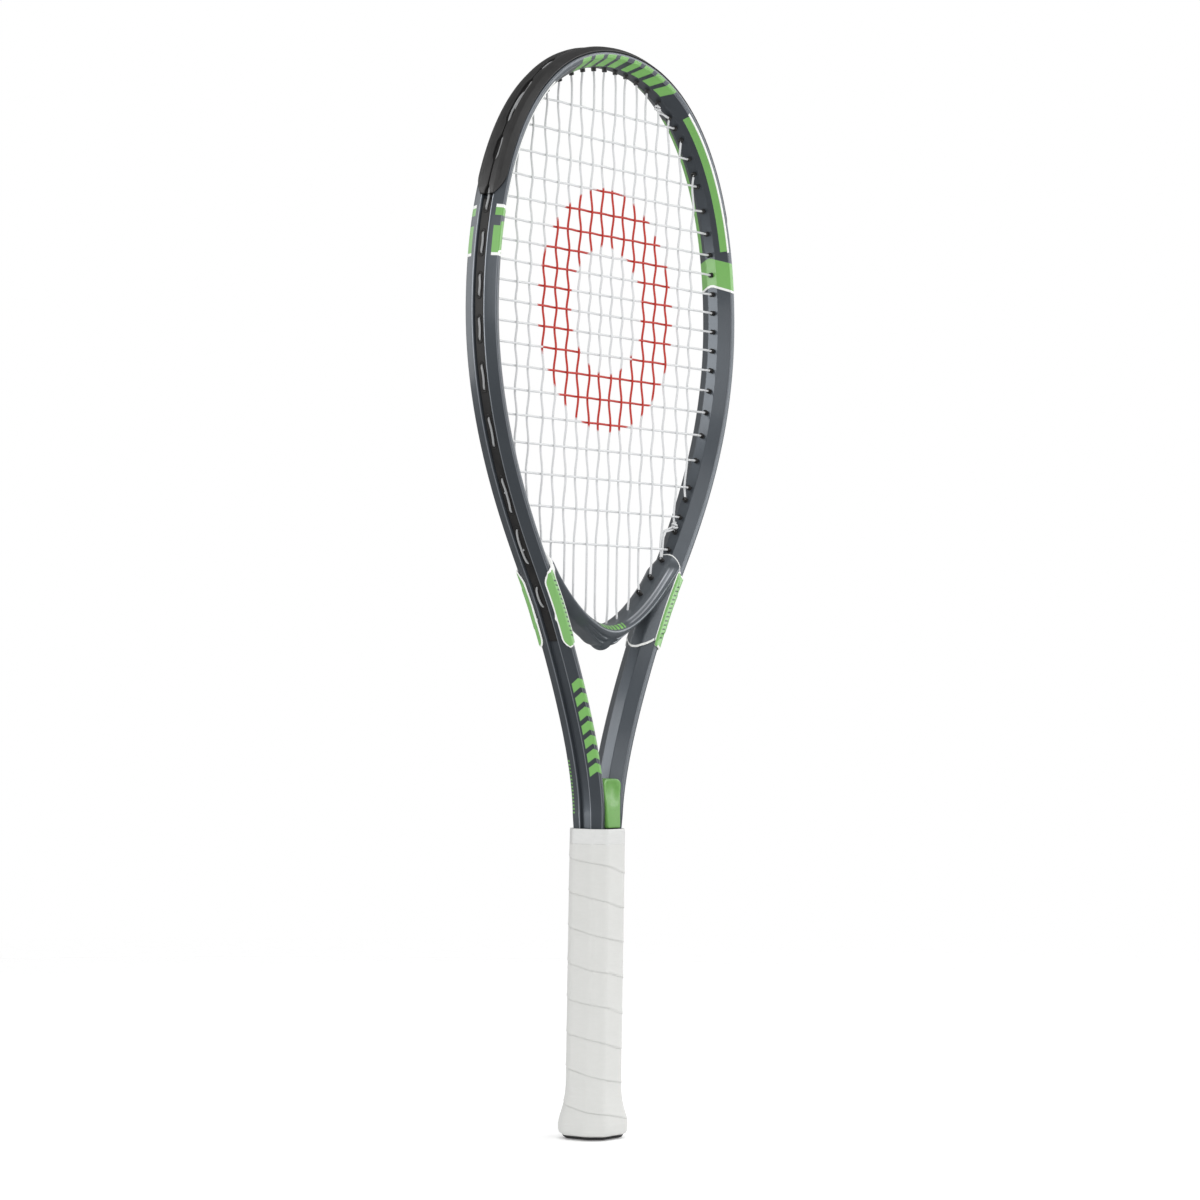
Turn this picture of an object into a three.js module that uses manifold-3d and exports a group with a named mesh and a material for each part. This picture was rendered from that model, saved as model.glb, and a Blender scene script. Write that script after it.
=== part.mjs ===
// A full-size tennis racket with a bent aluminium tube frame, a moulded throat bridge and a woven string bed.
// Millimetres. The origin is the middle of the butt's flat end, +Z runs up the axis to the tip, X runs across
// the head, and the front of the strings faces -Y.
import * as THREE from "three";
import { mergeVertices } from "three/addons/utils/BufferGeometryUtils.js";
import Module from "manifold-3d";

const wasm = await Module();
wasm.setup();

// ---- Driving dimensions ----

const LENGTH = 698.5; // butt end to tip
const GAP = 0.3; // between pieces that touch

// The centre line of the frame tube, right half, as points (x, z) and leans from the vertical in degrees.
const GUARD_HEIGHT = 6.5; // from the centre line to the outside of the bumper guard
const CROWN = new THREE.Vector2(0, LENGTH - GUARD_HEIGHT);
const WIDEST = new THREE.Vector2(136.1, 525);
const THROAT = new THREE.Vector2(59.3, 335.6);
const THROAT_LEAN = 28.6;
const SHAFT = new THREE.Vector2(9.8, 206.5);
const SHAFT_LEAN = 2.75;
const LEG_BEND = new THREE.Vector2(7.8, 172);
const LEG_END = new THREE.Vector2(7.2, 34);
const LEG_SIZE = 0.86; // the tube is swaged down to this share of its size inside the handle

// The tube's section: distance outward from its centre line, and half width there.
const INNER_FLAT = [-6.5, 3.8];
const INNER_CREASE = [-1.6, 11.2];
const OUTER_CREASE = [2.0, 11.9];
const CHANNEL_EDGE = [5.4, 3.9];
const CHANNEL_FLOOR = [2.5, 3.2];
const TUBE_WALL = 0.9;

// Strings
const STRING_HALF = 0.55; // half the side of the square that stands for a 1.3 mm string
const WEAVE = 1.5; // how far a cross string swings to each side of the mains
const MAINS_PER_SIDE = 8;
const MAIN_PITCH = 12.4; // at the middle of the bed
const MAIN_SPREAD = 9.0; // how much further out the outermost main stands than an even pitch puts it
const OUTER_MAIN_LEAN = 4; // the outermost mains' feet stand in by this much, clear of a cross's grommet
const CROSSES = 19;
const CROSS_MIDDLE_Z = 526.9;
const CROSS_PITCH = 12.63; // at the middle of the bed
const CROSS_SKEW = 0.108; // the pitch grows faster towards the throat than towards the tip
const CROSS_SPREAD = 0.0348; // and grows towards both ends

// Grommets, the small barrels that line the string holes
const BARREL_HALF = 1.25;
const BARREL_HOLE_HALF = 0.85;
const TUBE_HOLE_HALF = 1.6;
const MOUTH_DEPTH = 7.7; // from the tube's centre line in to the barrel's mouth
const SADDLE_MOUTH_DEPTHS = { 4: 19.6, 5: 13.2, 6: 9.8 }; // for mains 4 to 6, whose mouths are in the bridge
const STRIP_FLOOR = 2.8;
const STRIP_FACE = 3.8;
const CHANNEL_STRING = STRIP_FACE + GAP + STRING_HALF; // the height of a string that lies on the strip
const LOOP_SIDESTEP = 1.5; // mains lie on one side of the channel and crosses on the other
const GUARD_END_Z = 588;
const STRIP_END_Z = 318;

// Throat bridge
const BRIDGE_TOP_Z = 328.5; // inner face at the middle
const BRIDGE_END = new THREE.Vector2(76, 378);
const BRIDGE_DEPTH = 13.5;
const BRIDGE_GROOVE_FLOOR = 10.8;
const SADDLE_LOW_Z = 315;
const SADDLE_HIGH_Z = 366;
const SADDLE_SKIN = 1.2; // the saddle's outside, from the tube
const SADDLE_LIP = 5.6; // the saddle leaves the middle of the tube's outer side open, this far each way
const CLEARANCE_RUN = 30; // how far the tube's clearance runs past the pieces that it is cut from

// Throat wedge
const WEDGE_LOW_Z = 198;
const WEDGE_HIGH_Z = 229.5;
const WEDGE_HALF_DEPTHS = { low: 13.2, high: 11 }; // it deepens towards the handle
const WEDGE_CORNER = 4.5; // its top corners are cut off by a square with this half diagonal,
const WEDGE_EASE = 1; // which stands this far out and up from the corner

// Handle: its octagon has wide flats on Y and narrower ones on X.
const GRIP_HALF_X = 16.9;
const GRIP_HALF_Y = 14.5;
const GRIP_FLAT_HALF_ON_Y = 10;
const GRIP_FLAT_HALF_ON_X = 7.6;
const GRIP_TOP_Z = 197.5;
const BAND_LOW_Z = 186.5;
const PALLET_LOW_Z = 8;
const PALLET_HIGH_Z = 184;
const BUTT_FLARE = 1.25; // the widest part of the butt against the straight grip
const RIVET_RADIUS = 1.8;
const RIVET_HEIGHTS = { upper: 150, lower: 60 };

// ---- Materials ----

function material(color, roughness, metalness) {
  return new THREE.MeshStandardMaterial({ color, roughness, metalness });
}

const slateMetal = material(0x454b52, 0.35, 0.6);
const slatePlastic = material(0x4a5057, 0.4, 0.1);
const blackNylon = material(0x2b2b2c, 0.6, 0);
const whiteString = material(0xe9e9e4, 0.35, 0);
const greenPlastic = material(0x76b25a, 0.45, 0);
const palletPlastic = material(0x3a3a3a, 0.6, 0);
const steel = material(0xa9abad, 0.35, 1);
const whiteGrip = material(0xdededa, 0.8, 0);
const whiteTape = material(0xe6e6e2, 0.6, 0);

// ---- Solids ----

function solid(geometry) {
  const bare = geometry.clone();
  bare.deleteAttribute("normal");
  bare.deleteAttribute("uv");
  const merged = mergeVertices(bare, 1e-4);
  return new wasm.Manifold(
    new wasm.Mesh({
      numProp: 3,
      vertProperties: merged.attributes.position.array,
      triVerts: new Uint32Array(merged.index.array),
    }),
  );
}

const joined = (solids) => wasm.Manifold.union(solids);

// The largest body of a cut, without the crumbs beside it.
function mainBody(cut) {
  const bodies = cut.decompose();
  return bodies.reduce((best, body) => (body.volume() > best.volume() ? body : best));
}

function geometryOf(made) {
  const data = made.getMesh();
  const geometry = new THREE.BufferGeometry();
  geometry.setAttribute("position", new THREE.BufferAttribute(new Float32Array(data.vertProperties), 3));
  geometry.setIndex(new THREE.BufferAttribute(new Uint32Array(data.triVerts), 1));
  geometry.computeVertexNormals();
  return geometry;
}

const racket = new THREE.Group();

function addPiece(name, made, finish) {
  const piece = new THREE.Mesh(geometryOf(made), finish);
  piece.name = name;
  racket.add(piece);
}

function box(sizeX, sizeY, sizeZ, x, y, z) {
  return solid(new THREE.BoxGeometry(sizeX, sizeY, sizeZ).translate(x, y, z));
}

// ---- Paths and sections ----

// A station is a place on a flat path in the XZ plane: a point, and the direction square to the path that a
// section's first axis takes. A section's second axis always points to the front, -Y.
const outwardOf = (along) => new THREE.Vector2(-along.y, along.x).normalize();
const FRONT = new THREE.Vector3(0, -1, 0);

class StationPath extends THREE.Curve {
  constructor(stations) {
    super();
    this.stations = stations;
  }
  getSpacedPoints() {
    return this.stations.map((s) => new THREE.Vector3(s.point.x, s.y ?? 0, s.point.y));
  }
  computeFrenetFrames() {
    const sized = (vector, { size = 1 }) => vector.multiplyScalar(size); // a station may shrink the section
    const normals = this.stations.map((s) => sized(new THREE.Vector3(s.outward.x, 0, s.outward.y), s));
    const binormals = this.stations.map((s) => sized(FRONT.clone(), s));
    const tangents = normals.map((n) => new THREE.Vector3().crossVectors(n, FRONT));
    return { tangents, normals, binormals };
  }
}

function sweep(section, stations) {
  const shape = new THREE.Shape(section.outline);
  shape.holes = section.holes ?? [];
  const steps = stations.length - 1;
  return solid(new THREE.ExtrudeGeometry(shape, { steps, extrudePath: new StationPath(stations) }));
}

// A closed anticlockwise outline from its front half, given as [outward, forward] pairs from the outside in.
function symmetric(half) {
  const front = half.map(([u, w]) => new THREE.Vector2(u, w));
  const back = half.map(([u, w]) => new THREE.Vector2(u, -w)).reverse();
  return [...front, ...back];
}

// An anticlockwise outline moved outward by a distance, or inward when the distance is negative.
function offset(outline, distance) {
  return outline.map((corner, i) => {
    const before = outline.at(i - 1);
    const after = outline[(i + 1) % outline.length];
    const a = outwardOf(before.clone().sub(corner));
    const b = outwardOf(corner.clone().sub(after));
    const mitre = a.clone().add(b).normalize();
    return corner.clone().addScaledVector(mitre, distance / mitre.dot(a));
  });
}

const leaning = (degrees) => {
  const angle = THREE.MathUtils.degToRad(degrees);
  return new THREE.Vector2(Math.sin(angle), Math.cos(angle));
};

// ---- The frame's centre line ----

const CROWN_FULLNESS = 0.62;
const SHOULDER_FULLNESS = 0.6;
const HIP_FULLNESS = 90.7;
const THROAT_REACH = { above: 34.9, below: 47.8 };
const SHAFT_REACH = 35.5;

const shoulder = new THREE.CubicBezierCurve(
  CROWN,
  new THREE.Vector2(CROWN_FULLNESS * WIDEST.x, CROWN.y),
  new THREE.Vector2(WIDEST.x, THREE.MathUtils.lerp(WIDEST.y, CROWN.y, SHOULDER_FULLNESS)),
  WIDEST,
);
const hip = new THREE.CubicBezierCurve(
  WIDEST,
  new THREE.Vector2(WIDEST.x, WIDEST.y - HIP_FULLNESS),
  THROAT.clone().addScaledVector(leaning(THROAT_LEAN), THROAT_REACH.above),
  THROAT,
);
const shaftSide = new THREE.CubicBezierCurve(
  THROAT,
  THROAT.clone().addScaledVector(leaning(THROAT_LEAN), -THROAT_REACH.below),
  SHAFT.clone().addScaledVector(leaning(SHAFT_LEAN), SHAFT_REACH),
  SHAFT,
);
const stretches = [
  { curve: shoulder, steps: 16 },
  { curve: hip, steps: 13 },
  { curve: shaftSide, steps: 7 },
  { curve: new THREE.LineCurve(SHAFT, LEG_BEND), steps: 1, endSize: LEG_SIZE },
  { curve: new THREE.LineCurve(LEG_BEND, LEG_END), steps: 1, endSize: LEG_SIZE },
];

// Stations down the right half from the crown, with each stretch's steps multiplied by `finer`.
function rightStations(finer) {
  const stations = [{ point: CROWN.clone(), outward: new THREE.Vector2(0, 1), size: 1 }];
  for (const { curve, steps, endSize = 1 } of stretches) {
    const count = steps * finer;
    const startSize = stations.at(-1).size;
    for (let i = 1; i <= count; i++) {
      const t = i / count;
      const size = THREE.MathUtils.lerp(startSize, endSize, t);
      stations.push({ point: curve.getPoint(t), outward: outwardOf(curve.getTangent(t)), size });
    }
  }
  return stations;
}

const mirrored = ({ point, outward, size }) => ({
  point: new THREE.Vector2(-point.x, point.y),
  outward: new THREE.Vector2(-outward.x, outward.y),
  size,
});

// Sweeps run from the left leg over the crown to the right leg.
const right = rightStations(1);
const left = right.slice(1).map(mirrored).reverse();
const frameStations = [...left, ...right];

// The station between two neighbours that are on either side of a height.
function stationBetween(above, below, z) {
  const share = (above.point.y - z) / (above.point.y - below.point.y);
  return {
    point: above.point.clone().lerp(below.point, share),
    outward: above.outward.clone().lerp(below.outward, share).normalize(),
    size: THREE.MathUtils.lerp(above.size, below.size, share),
  };
}

// The stations of one side between two heights, with one at each height that the centre line passes.
function stationsOn(side, low, high) {
  const stations = right.filter(({ point }) => point.y > low && point.y < high);
  for (const z of [low, high]) {
    const next = right.findIndex(({ point }) => point.y < z);
    if (next > 0) stations.push(stationBetween(right[next - 1], right[next], z));
  }
  stations.sort((a, b) => b.point.y - a.point.y);
  return side > 0 ? stations : stations.map(mirrored).reverse();
}

// The fine centre line, for places that fall between the frame's own stations.
const FINER = 40;
const fine = rightStations(FINER);

function stationAt(index) {
  const low = Math.min(Math.floor(index), fine.length - 2);
  const share = index - low;
  return {
    index,
    point: fine[low].point.clone().lerp(fine[low + 1].point, share),
    outward: fine[low].outward.clone().lerp(fine[low + 1].outward, share).normalize(),
  };
}

const placeOn = (station, outward) => station.point.clone().addScaledVector(station.outward, outward);

// Where the line at a depth inside the centre line reaches a value of x or z ("y" of a flat point).
function findStation(depth, axis, value, fromBelow = false) {
  const error = (i) => placeOn(fine[i], -depth)[axis] - value;
  const order = [...fine.keys()].slice(1);
  if (fromBelow) order.reverse();
  const i = order.find((n) => error(n - 1) * error(n) <= 0);
  return stationAt(i - 1 + error(i - 1) / (error(i - 1) - error(i)));
}

// ---- Frame tube ----

const tubeOutline = symmetric([CHANNEL_FLOOR, CHANNEL_EDGE, OUTER_CREASE, INNER_CREASE, INNER_FLAT]);
const tubeEnvelope = symmetric([CHANNEL_EDGE, OUTER_CREASE, INNER_CREASE, INNER_FLAT]);

function boreOutline() {
  const outer = [CHANNEL_FLOOR, OUTER_CREASE, INNER_CREASE, INNER_FLAT];
  return offset(symmetric(outer), -TUBE_WALL);
}

// ---- String layout ----

const mainNumbers = Array.from({ length: MAINS_PER_SIDE }, (_, i) => i + 1); // counted out from the middle
const crossNumbers = Array.from({ length: CROSSES }, (_, i) => i); // counted down from the tip

function mainX(number) {
  const places = number - 0.5;
  return MAIN_PITCH * places + MAIN_SPREAD * (places / (MAINS_PER_SIDE - 0.5)) ** 4;
}

const mainFootX = (number) => mainX(number) - (number === MAINS_PER_SIDE ? OUTER_MAIN_LEAN : 0);

function crossZ(number) {
  const places = number - (CROSSES - 1) / 2;
  return CROSS_MIDDLE_Z - CROSS_PITCH * places - CROSS_SKEW * places ** 2 - CROSS_SPREAD * places ** 3;
}

// The bridge's inner face, from the middle out to the right.
const bridgeFace = new THREE.CubicBezierCurve(
  new THREE.Vector2(0, BRIDGE_TOP_Z),
  new THREE.Vector2(24, BRIDGE_TOP_Z),
  new THREE.Vector2(54, 351),
  BRIDGE_END,
);
const bridgeStation = (t) => ({
  point: bridgeFace.getPoint(t),
  outward: outwardOf(bridgeFace.getTangent(t).negate()),
});
const bridgeFine = Array.from({ length: 401 }, (_, i) => bridgeStation(i / 400));

function bridgePoint(x, depth) {
  return bridgeFine.map((station) => placeOn(station, depth)).find((point) => point.x >= x);
}

// An anchor is where a string leaves the bed: the mouth that it enters and the exit behind, on the right half.
const tubeAnchor = (station, depth) => ({
  station,
  mouth: placeOn(station, -depth),
  exit: placeOn(station, CHANNEL_STRING),
});

function bridgeAnchor(x) {
  const groove = (BRIDGE_GROOVE_FLOOR + BRIDGE_DEPTH) / 2;
  return {
    mouth: new THREE.Vector2(x, bridgePoint(x, 0).y),
    exit: new THREE.Vector2(x, bridgePoint(x, groove).y),
  };
}

const mainTops = mainNumbers.map((n) => tubeAnchor(findStation(MOUTH_DEPTH, "x", mainX(n)), MOUTH_DEPTH));
const mainFeet = mainNumbers.map((n) => {
  if (n < Math.min(...Object.keys(SADDLE_MOUTH_DEPTHS))) return bridgeAnchor(mainX(n));
  const depth = SADDLE_MOUTH_DEPTHS[n] ?? MOUTH_DEPTH;
  return tubeAnchor(findStation(depth, "x", mainFootX(n), true), depth);
});
const crossEnds = crossNumbers.map((n) => tubeAnchor(findStation(MOUTH_DEPTH, "y", crossZ(n)), MOUTH_DEPTH));
const tubeAnchors = [...mainTops, ...mainFeet, ...crossEnds].filter((anchor) => anchor.station);

// A square bar between two points of the XZ plane on the given side.
function bar(side, from, to, half) {
  const middle = from.clone().add(to).multiplyScalar(0.5);
  const along = to.clone().sub(from);
  const geometry = new THREE.BoxGeometry(2 * half, 2 * half, along.length());
  geometry.rotateY(Math.atan2(side * along.x, along.y));
  return solid(geometry.translate(side * middle.x, 0, middle.y));
}

const BOTH_SIDES = [-1, 1];
const FACES = [-1, 1]; // the front, on -Y, and the back
const PAST = 2; // how far a cutting bar runs past what it cuts

function anchorBars(anchors, side, half, inner, outer) {
  return anchors.map(({ station, mouth }) => {
    const start = mouth.clone().addScaledVector(station.outward, -inner);
    return bar(side, start, placeOn(station, outer), half);
  });
}

// ---- Grommet strips and bumper guard ----

// It fills the channel, laps down the tube's outer bevels on both sides and is open over the strings.
const GUARD_SLOT_HALF = 2.5;
const guardOutline = symmetric([
  [STRIP_FLOOR, 2.9],
  [5.6, 3.55],
  [5.75, 4.05],
  [3.15, 10.1],
  [4.03, 10.65],
  [GUARD_HEIGHT, 4.6],
  [GUARD_HEIGHT, GUARD_SLOT_HALF],
  [STRIP_FACE, GUARD_SLOT_HALF],
]);

const stripOutline = symmetric([
  [STRIP_FLOOR, 2.9],
  [STRIP_FACE, 3.1],
]);

function linedStrip(outline, stations, barrels) {
  const sleeveTop = STRIP_FLOOR + 0.5;
  const sleeves = barrels.flatMap(({ side, anchors }) => anchorBars(anchors, side, BARREL_HALF, 0, sleeveTop));
  const holes = barrels.flatMap(({ side, anchors }) =>
    anchorBars(anchors, side, BARREL_HOLE_HALF, PAST, STRIP_FACE + PAST),
  );
  return joined([sweep({ outline }, stations), ...sleeves]).subtract(joined(holes));
}

// ---- Strings ----

const BEND_CLEAR = 0.4; // a string bends just outside its barrel's mouth

function bedPoint(side, anchor) {
  const inward = anchor.mouth.clone().sub(anchor.exit).normalize();
  const point = anchor.mouth.clone().addScaledVector(inward, BEND_CLEAR);
  return { x: side * point.x, z: point.y, y: 0 };
}

const exitPoint = (side, anchor) => ({ x: side * anchor.exit.x, z: anchor.exit.y, y: 0 });

// The string's way behind the frame from one exit to the next, on its own side of the channel.
function loopPoints(side, from, to, sidestep) {
  if (!from.station || !to.station) return [];
  return [0.3, 0.7].map((share) => {
    const station = stationAt(THREE.MathUtils.lerp(from.station.index, to.station.index, share));
    const point = placeOn(station, CHANNEL_STRING);
    return { x: side * point.x, z: point.y, y: sidestep };
  });
}

// A square-section body along straight stretches between points.
function stringAlong(points) {
  const flat = points.map(({ x, z }) => new THREE.Vector2(x, z));
  const stations = points.map(({ y }, i) => {
    const before = flat[Math.max(i - 1, 0)];
    const after = flat[Math.min(i + 1, flat.length - 1)];
    const arriving = flat[i].clone().sub(before).normalize();
    const leaving = after.clone().sub(flat[i]).normalize();
    return { point: flat[i], y, outward: outwardOf(arriving.add(leaving)) };
  });
  const h = STRING_HALF;
  const outline = [[-h, -h], [-h, h], [h, h], [h, -h]].map(([u, w]) => new THREE.Vector2(u, w));
  return sweep({ outline }, stations);
}

// All the mains in one length: up the first, over to the second, down, and so on from left to right.
function mainRoute() {
  const order = [
    ...mainNumbers.toReversed().map((number) => ({ side: -1, number })),
    ...mainNumbers.map((number) => ({ side: 1, number })),
  ];
  const route = [];
  order.forEach(({ side, number }, i) => {
    const ends = [mainFeet[number - 1], mainTops[number - 1]];
    const [start, finish] = i % 2 ? ends.toReversed() : ends;
    route.push(exitPoint(side, start), bedPoint(side, start));
    route.push(bedPoint(side, finish), exitPoint(side, finish));
    const next = order[i + 1];
    if (next) {
      const nextEnds = i % 2 ? mainFeet : mainTops;
      route.push(...loopPoints(side, finish, nextEnds[next.number - 1], LOOP_SIDESTEP));
    }
  });
  return route;
}

// All the crosses in one length from the tip down, over and under the mains in turn.
function crossRoute() {
  const mains = BOTH_SIDES.flatMap((side) =>
    mainNumbers.map((number) => ({
      side,
      top: mainTops[number - 1].mouth,
      foot: mainFeet[number - 1].mouth,
      order: side > 0 ? number : 1 - number,
    })),
  );
  return crossNumbers.flatMap((number) => {
    const z = crossZ(number);
    const side = number % 2 ? -1 : 1; // the side that this cross starts from
    const crossings = mains
      .filter(({ top, foot }) => z < top.y && z > foot.y)
      .sort((a, b) => side * (b.order - a.order))
      .map((main) => ({
        x: main.side * THREE.MathUtils.mapLinear(z, main.foot.y, main.top.y, main.foot.x, main.top.x),
        z,
        y: (main.order + number) % 2 ? WEAVE : -WEAVE,
      }));
    const anchor = crossEnds[number];
    const ends = [exitPoint(side, anchor), bedPoint(side, anchor)];
    const farEnds = [bedPoint(-side, anchor), exitPoint(-side, anchor)];
    const next = crossEnds[number + 1];
    const loop = next ? loopPoints(-side, anchor, next, -LOOP_SIDESTEP) : [];
    return [...ends, ...crossings, ...farEnds, ...loop];
  });
}

// ---- Throat bridge ----

function bridgeStations() {
  const steps = 10;
  const rightHalf = Array.from({ length: steps + 1 }, (_, i) => bridgeStation(i / steps));
  return [...rightHalf.toReversed(), ...rightHalf.slice(1).map(mirrored)];
}

function bridgeSection() {
  const half = [
    [0, INNER_FLAT[1]],
    [4.9, INNER_CREASE[1]],
    [11, INNER_CREASE[1]],
    [BRIDGE_DEPTH, 6.5],
    [BRIDGE_DEPTH, 2.2],
    [BRIDGE_GROOVE_FLOOR, 2.2],
  ];
  return { outline: symmetric(half) };
}

// The tube with room round it, along the stretch that the bridge and the wedge meet.
function tubeClearance(low, high) {
  const outline = offset(tubeEnvelope, GAP);
  return joined(BOTH_SIDES.map((side) => sweep({ outline }, stationsOn(side, low, high))));
}

// A skin round the tube that leaves the middle of its outer side open.
function saddle(side) {
  const skin = offset(tubeEnvelope, SADDLE_SKIN);
  const shell = sweep({ outline: skin }, stationsOn(side, SADDLE_LOW_Z, SADDLE_HIGH_Z));
  const slot = symmetric([[0, -SADDLE_LIP], [GUARD_HEIGHT + PAST, -SADDLE_LIP]]).reverse();
  const open = sweep({ outline: slot }, stationsOn(side, SADDLE_LOW_Z - PAST, SADDLE_HIGH_Z + PAST));
  return shell.subtract(open);
}

// The space between the two legs' centre lines, as deep as the racket.
function betweenLegs(low, high, outward) {
  const edge = fine.filter(({ point }) => point.y >= low && point.y <= high);
  const spaced = edge.filter((_, i) => i % (FINER / 2) === 0 || i === edge.length - 1);
  const rightEdge = spaced.map((station) => placeOn(station, outward));
  const leftEdge = rightEdge.map(({ x, y }) => new THREE.Vector2(-x, y)).reverse();
  return [...rightEdge, ...leftEdge];
}

// A flat outline in the XZ plane given a thickness along Y.
function plate(outline, halfDepth) {
  const settings = { depth: 2 * halfDepth, bevelEnabled: false };
  const geometry = new THREE.ExtrudeGeometry(new THREE.Shape(outline), settings);
  return solid(geometry.translate(0, 0, -halfDepth).rotateX(Math.PI / 2));
}

function throatBridge() {
  const arch = sweep(bridgeSection(), bridgeStations());
  const [low, high] = [SADDLE_LOW_Z - CLEARANCE_RUN, BRIDGE_END.y + CLEARANCE_RUN];
  const reach = plate(betweenLegs(low, high, 0), 2 * INNER_CREASE[1]);
  const body = joined([arch.intersect(reach), ...BOTH_SIDES.map(saddle)]);
  const lined = mainFeet.filter((anchor) => anchor.station);
  const bare = mainFeet.filter((anchor) => !anchor.station);
  const barrelHoles = BOTH_SIDES.flatMap((side) => anchorBars(lined, side, TUBE_HOLE_HALF, PAST, 0));
  const stringHoles = BOTH_SIDES.flatMap((side) =>
    bare.map(({ mouth, exit }) => {
      const above = mouth.clone().add(new THREE.Vector2(0, PAST));
      const below = exit.clone().sub(new THREE.Vector2(0, PAST));
      return bar(side, above, below, BARREL_HOLE_HALF);
    }),
  );
  const clearance = tubeClearance(low, high);
  return mainBody(body.subtract(clearance).subtract(joined([...barrelHoles, ...stringHoles])));
}

// ---- Throat wedge ----

function throatWedge() {
  const { low, high } = WEDGE_HALF_DEPTHS;
  const sides = betweenLegs(WEDGE_LOW_Z, WEDGE_HIGH_Z, INNER_CREASE[0]);
  const halfWidth = sides[0].x;
  const taper = [[low, WEDGE_LOW_Z], [high, WEDGE_HIGH_Z], [-high, WEDGE_HIGH_Z], [-low, WEDGE_LOW_Z]];
  const sideView = taper.map(([y, z]) => new THREE.Vector2(y, z));
  const block = plate(sides, low).intersect(plate(sideView, halfWidth).rotate([0, 0, 90]));
  const corners = BOTH_SIDES.map((side) => {
    const size = WEDGE_CORNER * Math.SQRT2;
    const geometry = new THREE.BoxGeometry(size, 4 * low, size).rotateY(Math.PI / 4);
    return solid(geometry.translate(side * (halfWidth + WEDGE_EASE), 0, WEDGE_HIGH_Z + WEDGE_EASE));
  });
  const clearance = tubeClearance(WEDGE_LOW_Z - CLEARANCE_RUN, WEDGE_HIGH_Z + CLEARANCE_RUN);
  return mainBody(block.subtract(joined(corners)).subtract(clearance));
}

// ---- Handle ----

// A turned profile of [share of the grip's size, z] pairs, made eight-sided to the handle's octagon.
function octagonal(profile) {
  const points = profile.map(([share, z]) => new THREE.Vector2(share, z));
  const geometry = new THREE.LatheGeometry(points, 8, Math.PI / 8);
  const position = geometry.attributes.position;
  for (let i = 0; i < position.count; i++) {
    const x = position.getX(i);
    const depth = position.getZ(i);
    const share = Math.hypot(x, depth);
    const onX = Math.abs(x) > Math.abs(depth);
    const sizeX = onX ? GRIP_HALF_X : GRIP_FLAT_HALF_ON_Y;
    const sizeY = onX ? GRIP_FLAT_HALF_ON_X : GRIP_HALF_Y;
    position.setXYZ(i, Math.sign(x) * sizeX * share, position.getY(i), Math.sign(depth) * sizeY * share);
  }
  return solid(geometry.rotateX(Math.PI / 2));
}

const PALLET_SHARE = 0.885;
const PALLET_IN_CAP_SHARE = 0.85;
const CAP_TOP_Z = 28;

// The solid octagon of the handle's core, narrower where the butt cap slides over it.
function palletBlock() {
  return octagonal([
    [0, PALLET_LOW_Z],
    [PALLET_IN_CAP_SHARE, PALLET_LOW_Z],
    [PALLET_IN_CAP_SHARE, CAP_TOP_Z + GAP],
    [PALLET_SHARE, CAP_TOP_Z + GAP],
    [PALLET_SHARE, PALLET_HIGH_Z],
    [0, PALLET_HIGH_Z],
  ]);
}

function rivetAt(z, radius, halfLength) {
  return solid(new THREE.CylinderGeometry(radius, radius, 2 * halfLength, 10).translate(0, 0, z));
}

const RIVET_HALF_LENGTH = 12.6;

const BARE_EDGE_X = 11; // the core leaves the legs' outer edges bare beyond this
const BARE_EDGE_DEPTH = 9;
const BUTT_POCKET = { x: 18, y: 14, top: 28 };
const LEG_END_ROOM = { x: 26, y: 25, z: 2 };
const WIDER = 60; // a size that is larger than the handle is wide

// One half of the core. It covers the legs on its side, fills the gap between them and bares their edges.
function handleHalf(face) {
  const length = 2 * GRIP_TOP_Z;
  const otherSide = box(WIDER, WIDER, length, 0, -face * (WIDER / 2 - GAP / 2), 0);
  const edgeX = WIDER / 2 + BARE_EDGE_X;
  const edgeZ = LEG_END.y - PAST + length / 2;
  const bareEdges = BOTH_SIDES.map((side) => box(WIDER, BARE_EDGE_DEPTH, length, side * edgeX, 0, edgeZ));
  const pocket = box(BUTT_POCKET.x, BUTT_POCKET.y, 2 * BUTT_POCKET.top, 0, 0, 0);
  const rivets = Object.values(RIVET_HEIGHTS).map((z) => rivetAt(z, RIVET_RADIUS + GAP, WIDER));
  const staples = FACES.map((side) => staple(side, GAP));
  const legs = tubeClearance(LEG_END.y - PAST, GRIP_TOP_Z + CLEARANCE_RUN);
  const legEnds = box(LEG_END_ROOM.x, LEG_END_ROOM.y, LEG_END_ROOM.z, 0, 0, LEG_END.y);
  const cuts = joined([otherSide, ...bareEdges, pocket, ...rivets, ...staples, legs, legEnds]);
  return mainBody(palletBlock().subtract(cuts));
}

function buttCap() {
  const outside = [
    [0.6, 0],
    [1.06, 0],
    [1.14, 3],
    [BUTT_FLARE - 0.12, 9],
    [1.08, 14],
    [0.95, 23],
    [0.905, CAP_TOP_Z],
  ];
  const inside = [
    [0.87, CAP_TOP_Z],
    [0.87, 7],
    [0.6, 4],
  ];
  const shell = octagonal([...outside, ...inside, outside[0]]);
  return shell.subtract(joined(FACES.map((face) => staple(face, GAP))));
}

const buttDoor = () =>
  octagonal([
    [0, 0],
    [0.57, 0],
    [0.57, 4],
    [0.84, 7],
    [0.84, PALLET_LOW_Z - GAP],
    [0, PALLET_LOW_Z - GAP],
  ]);

const STAPLE_WIRE = 0.9;
const STAPLE_WIDTH = 10;
const STAPLE_LEG = 7;
const STAPLE_Z = 14;
const STAPLE_CROWN_Y = 1.08 * GRIP_HALF_Y - 0.7; // just under the butt cap's surface there

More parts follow.
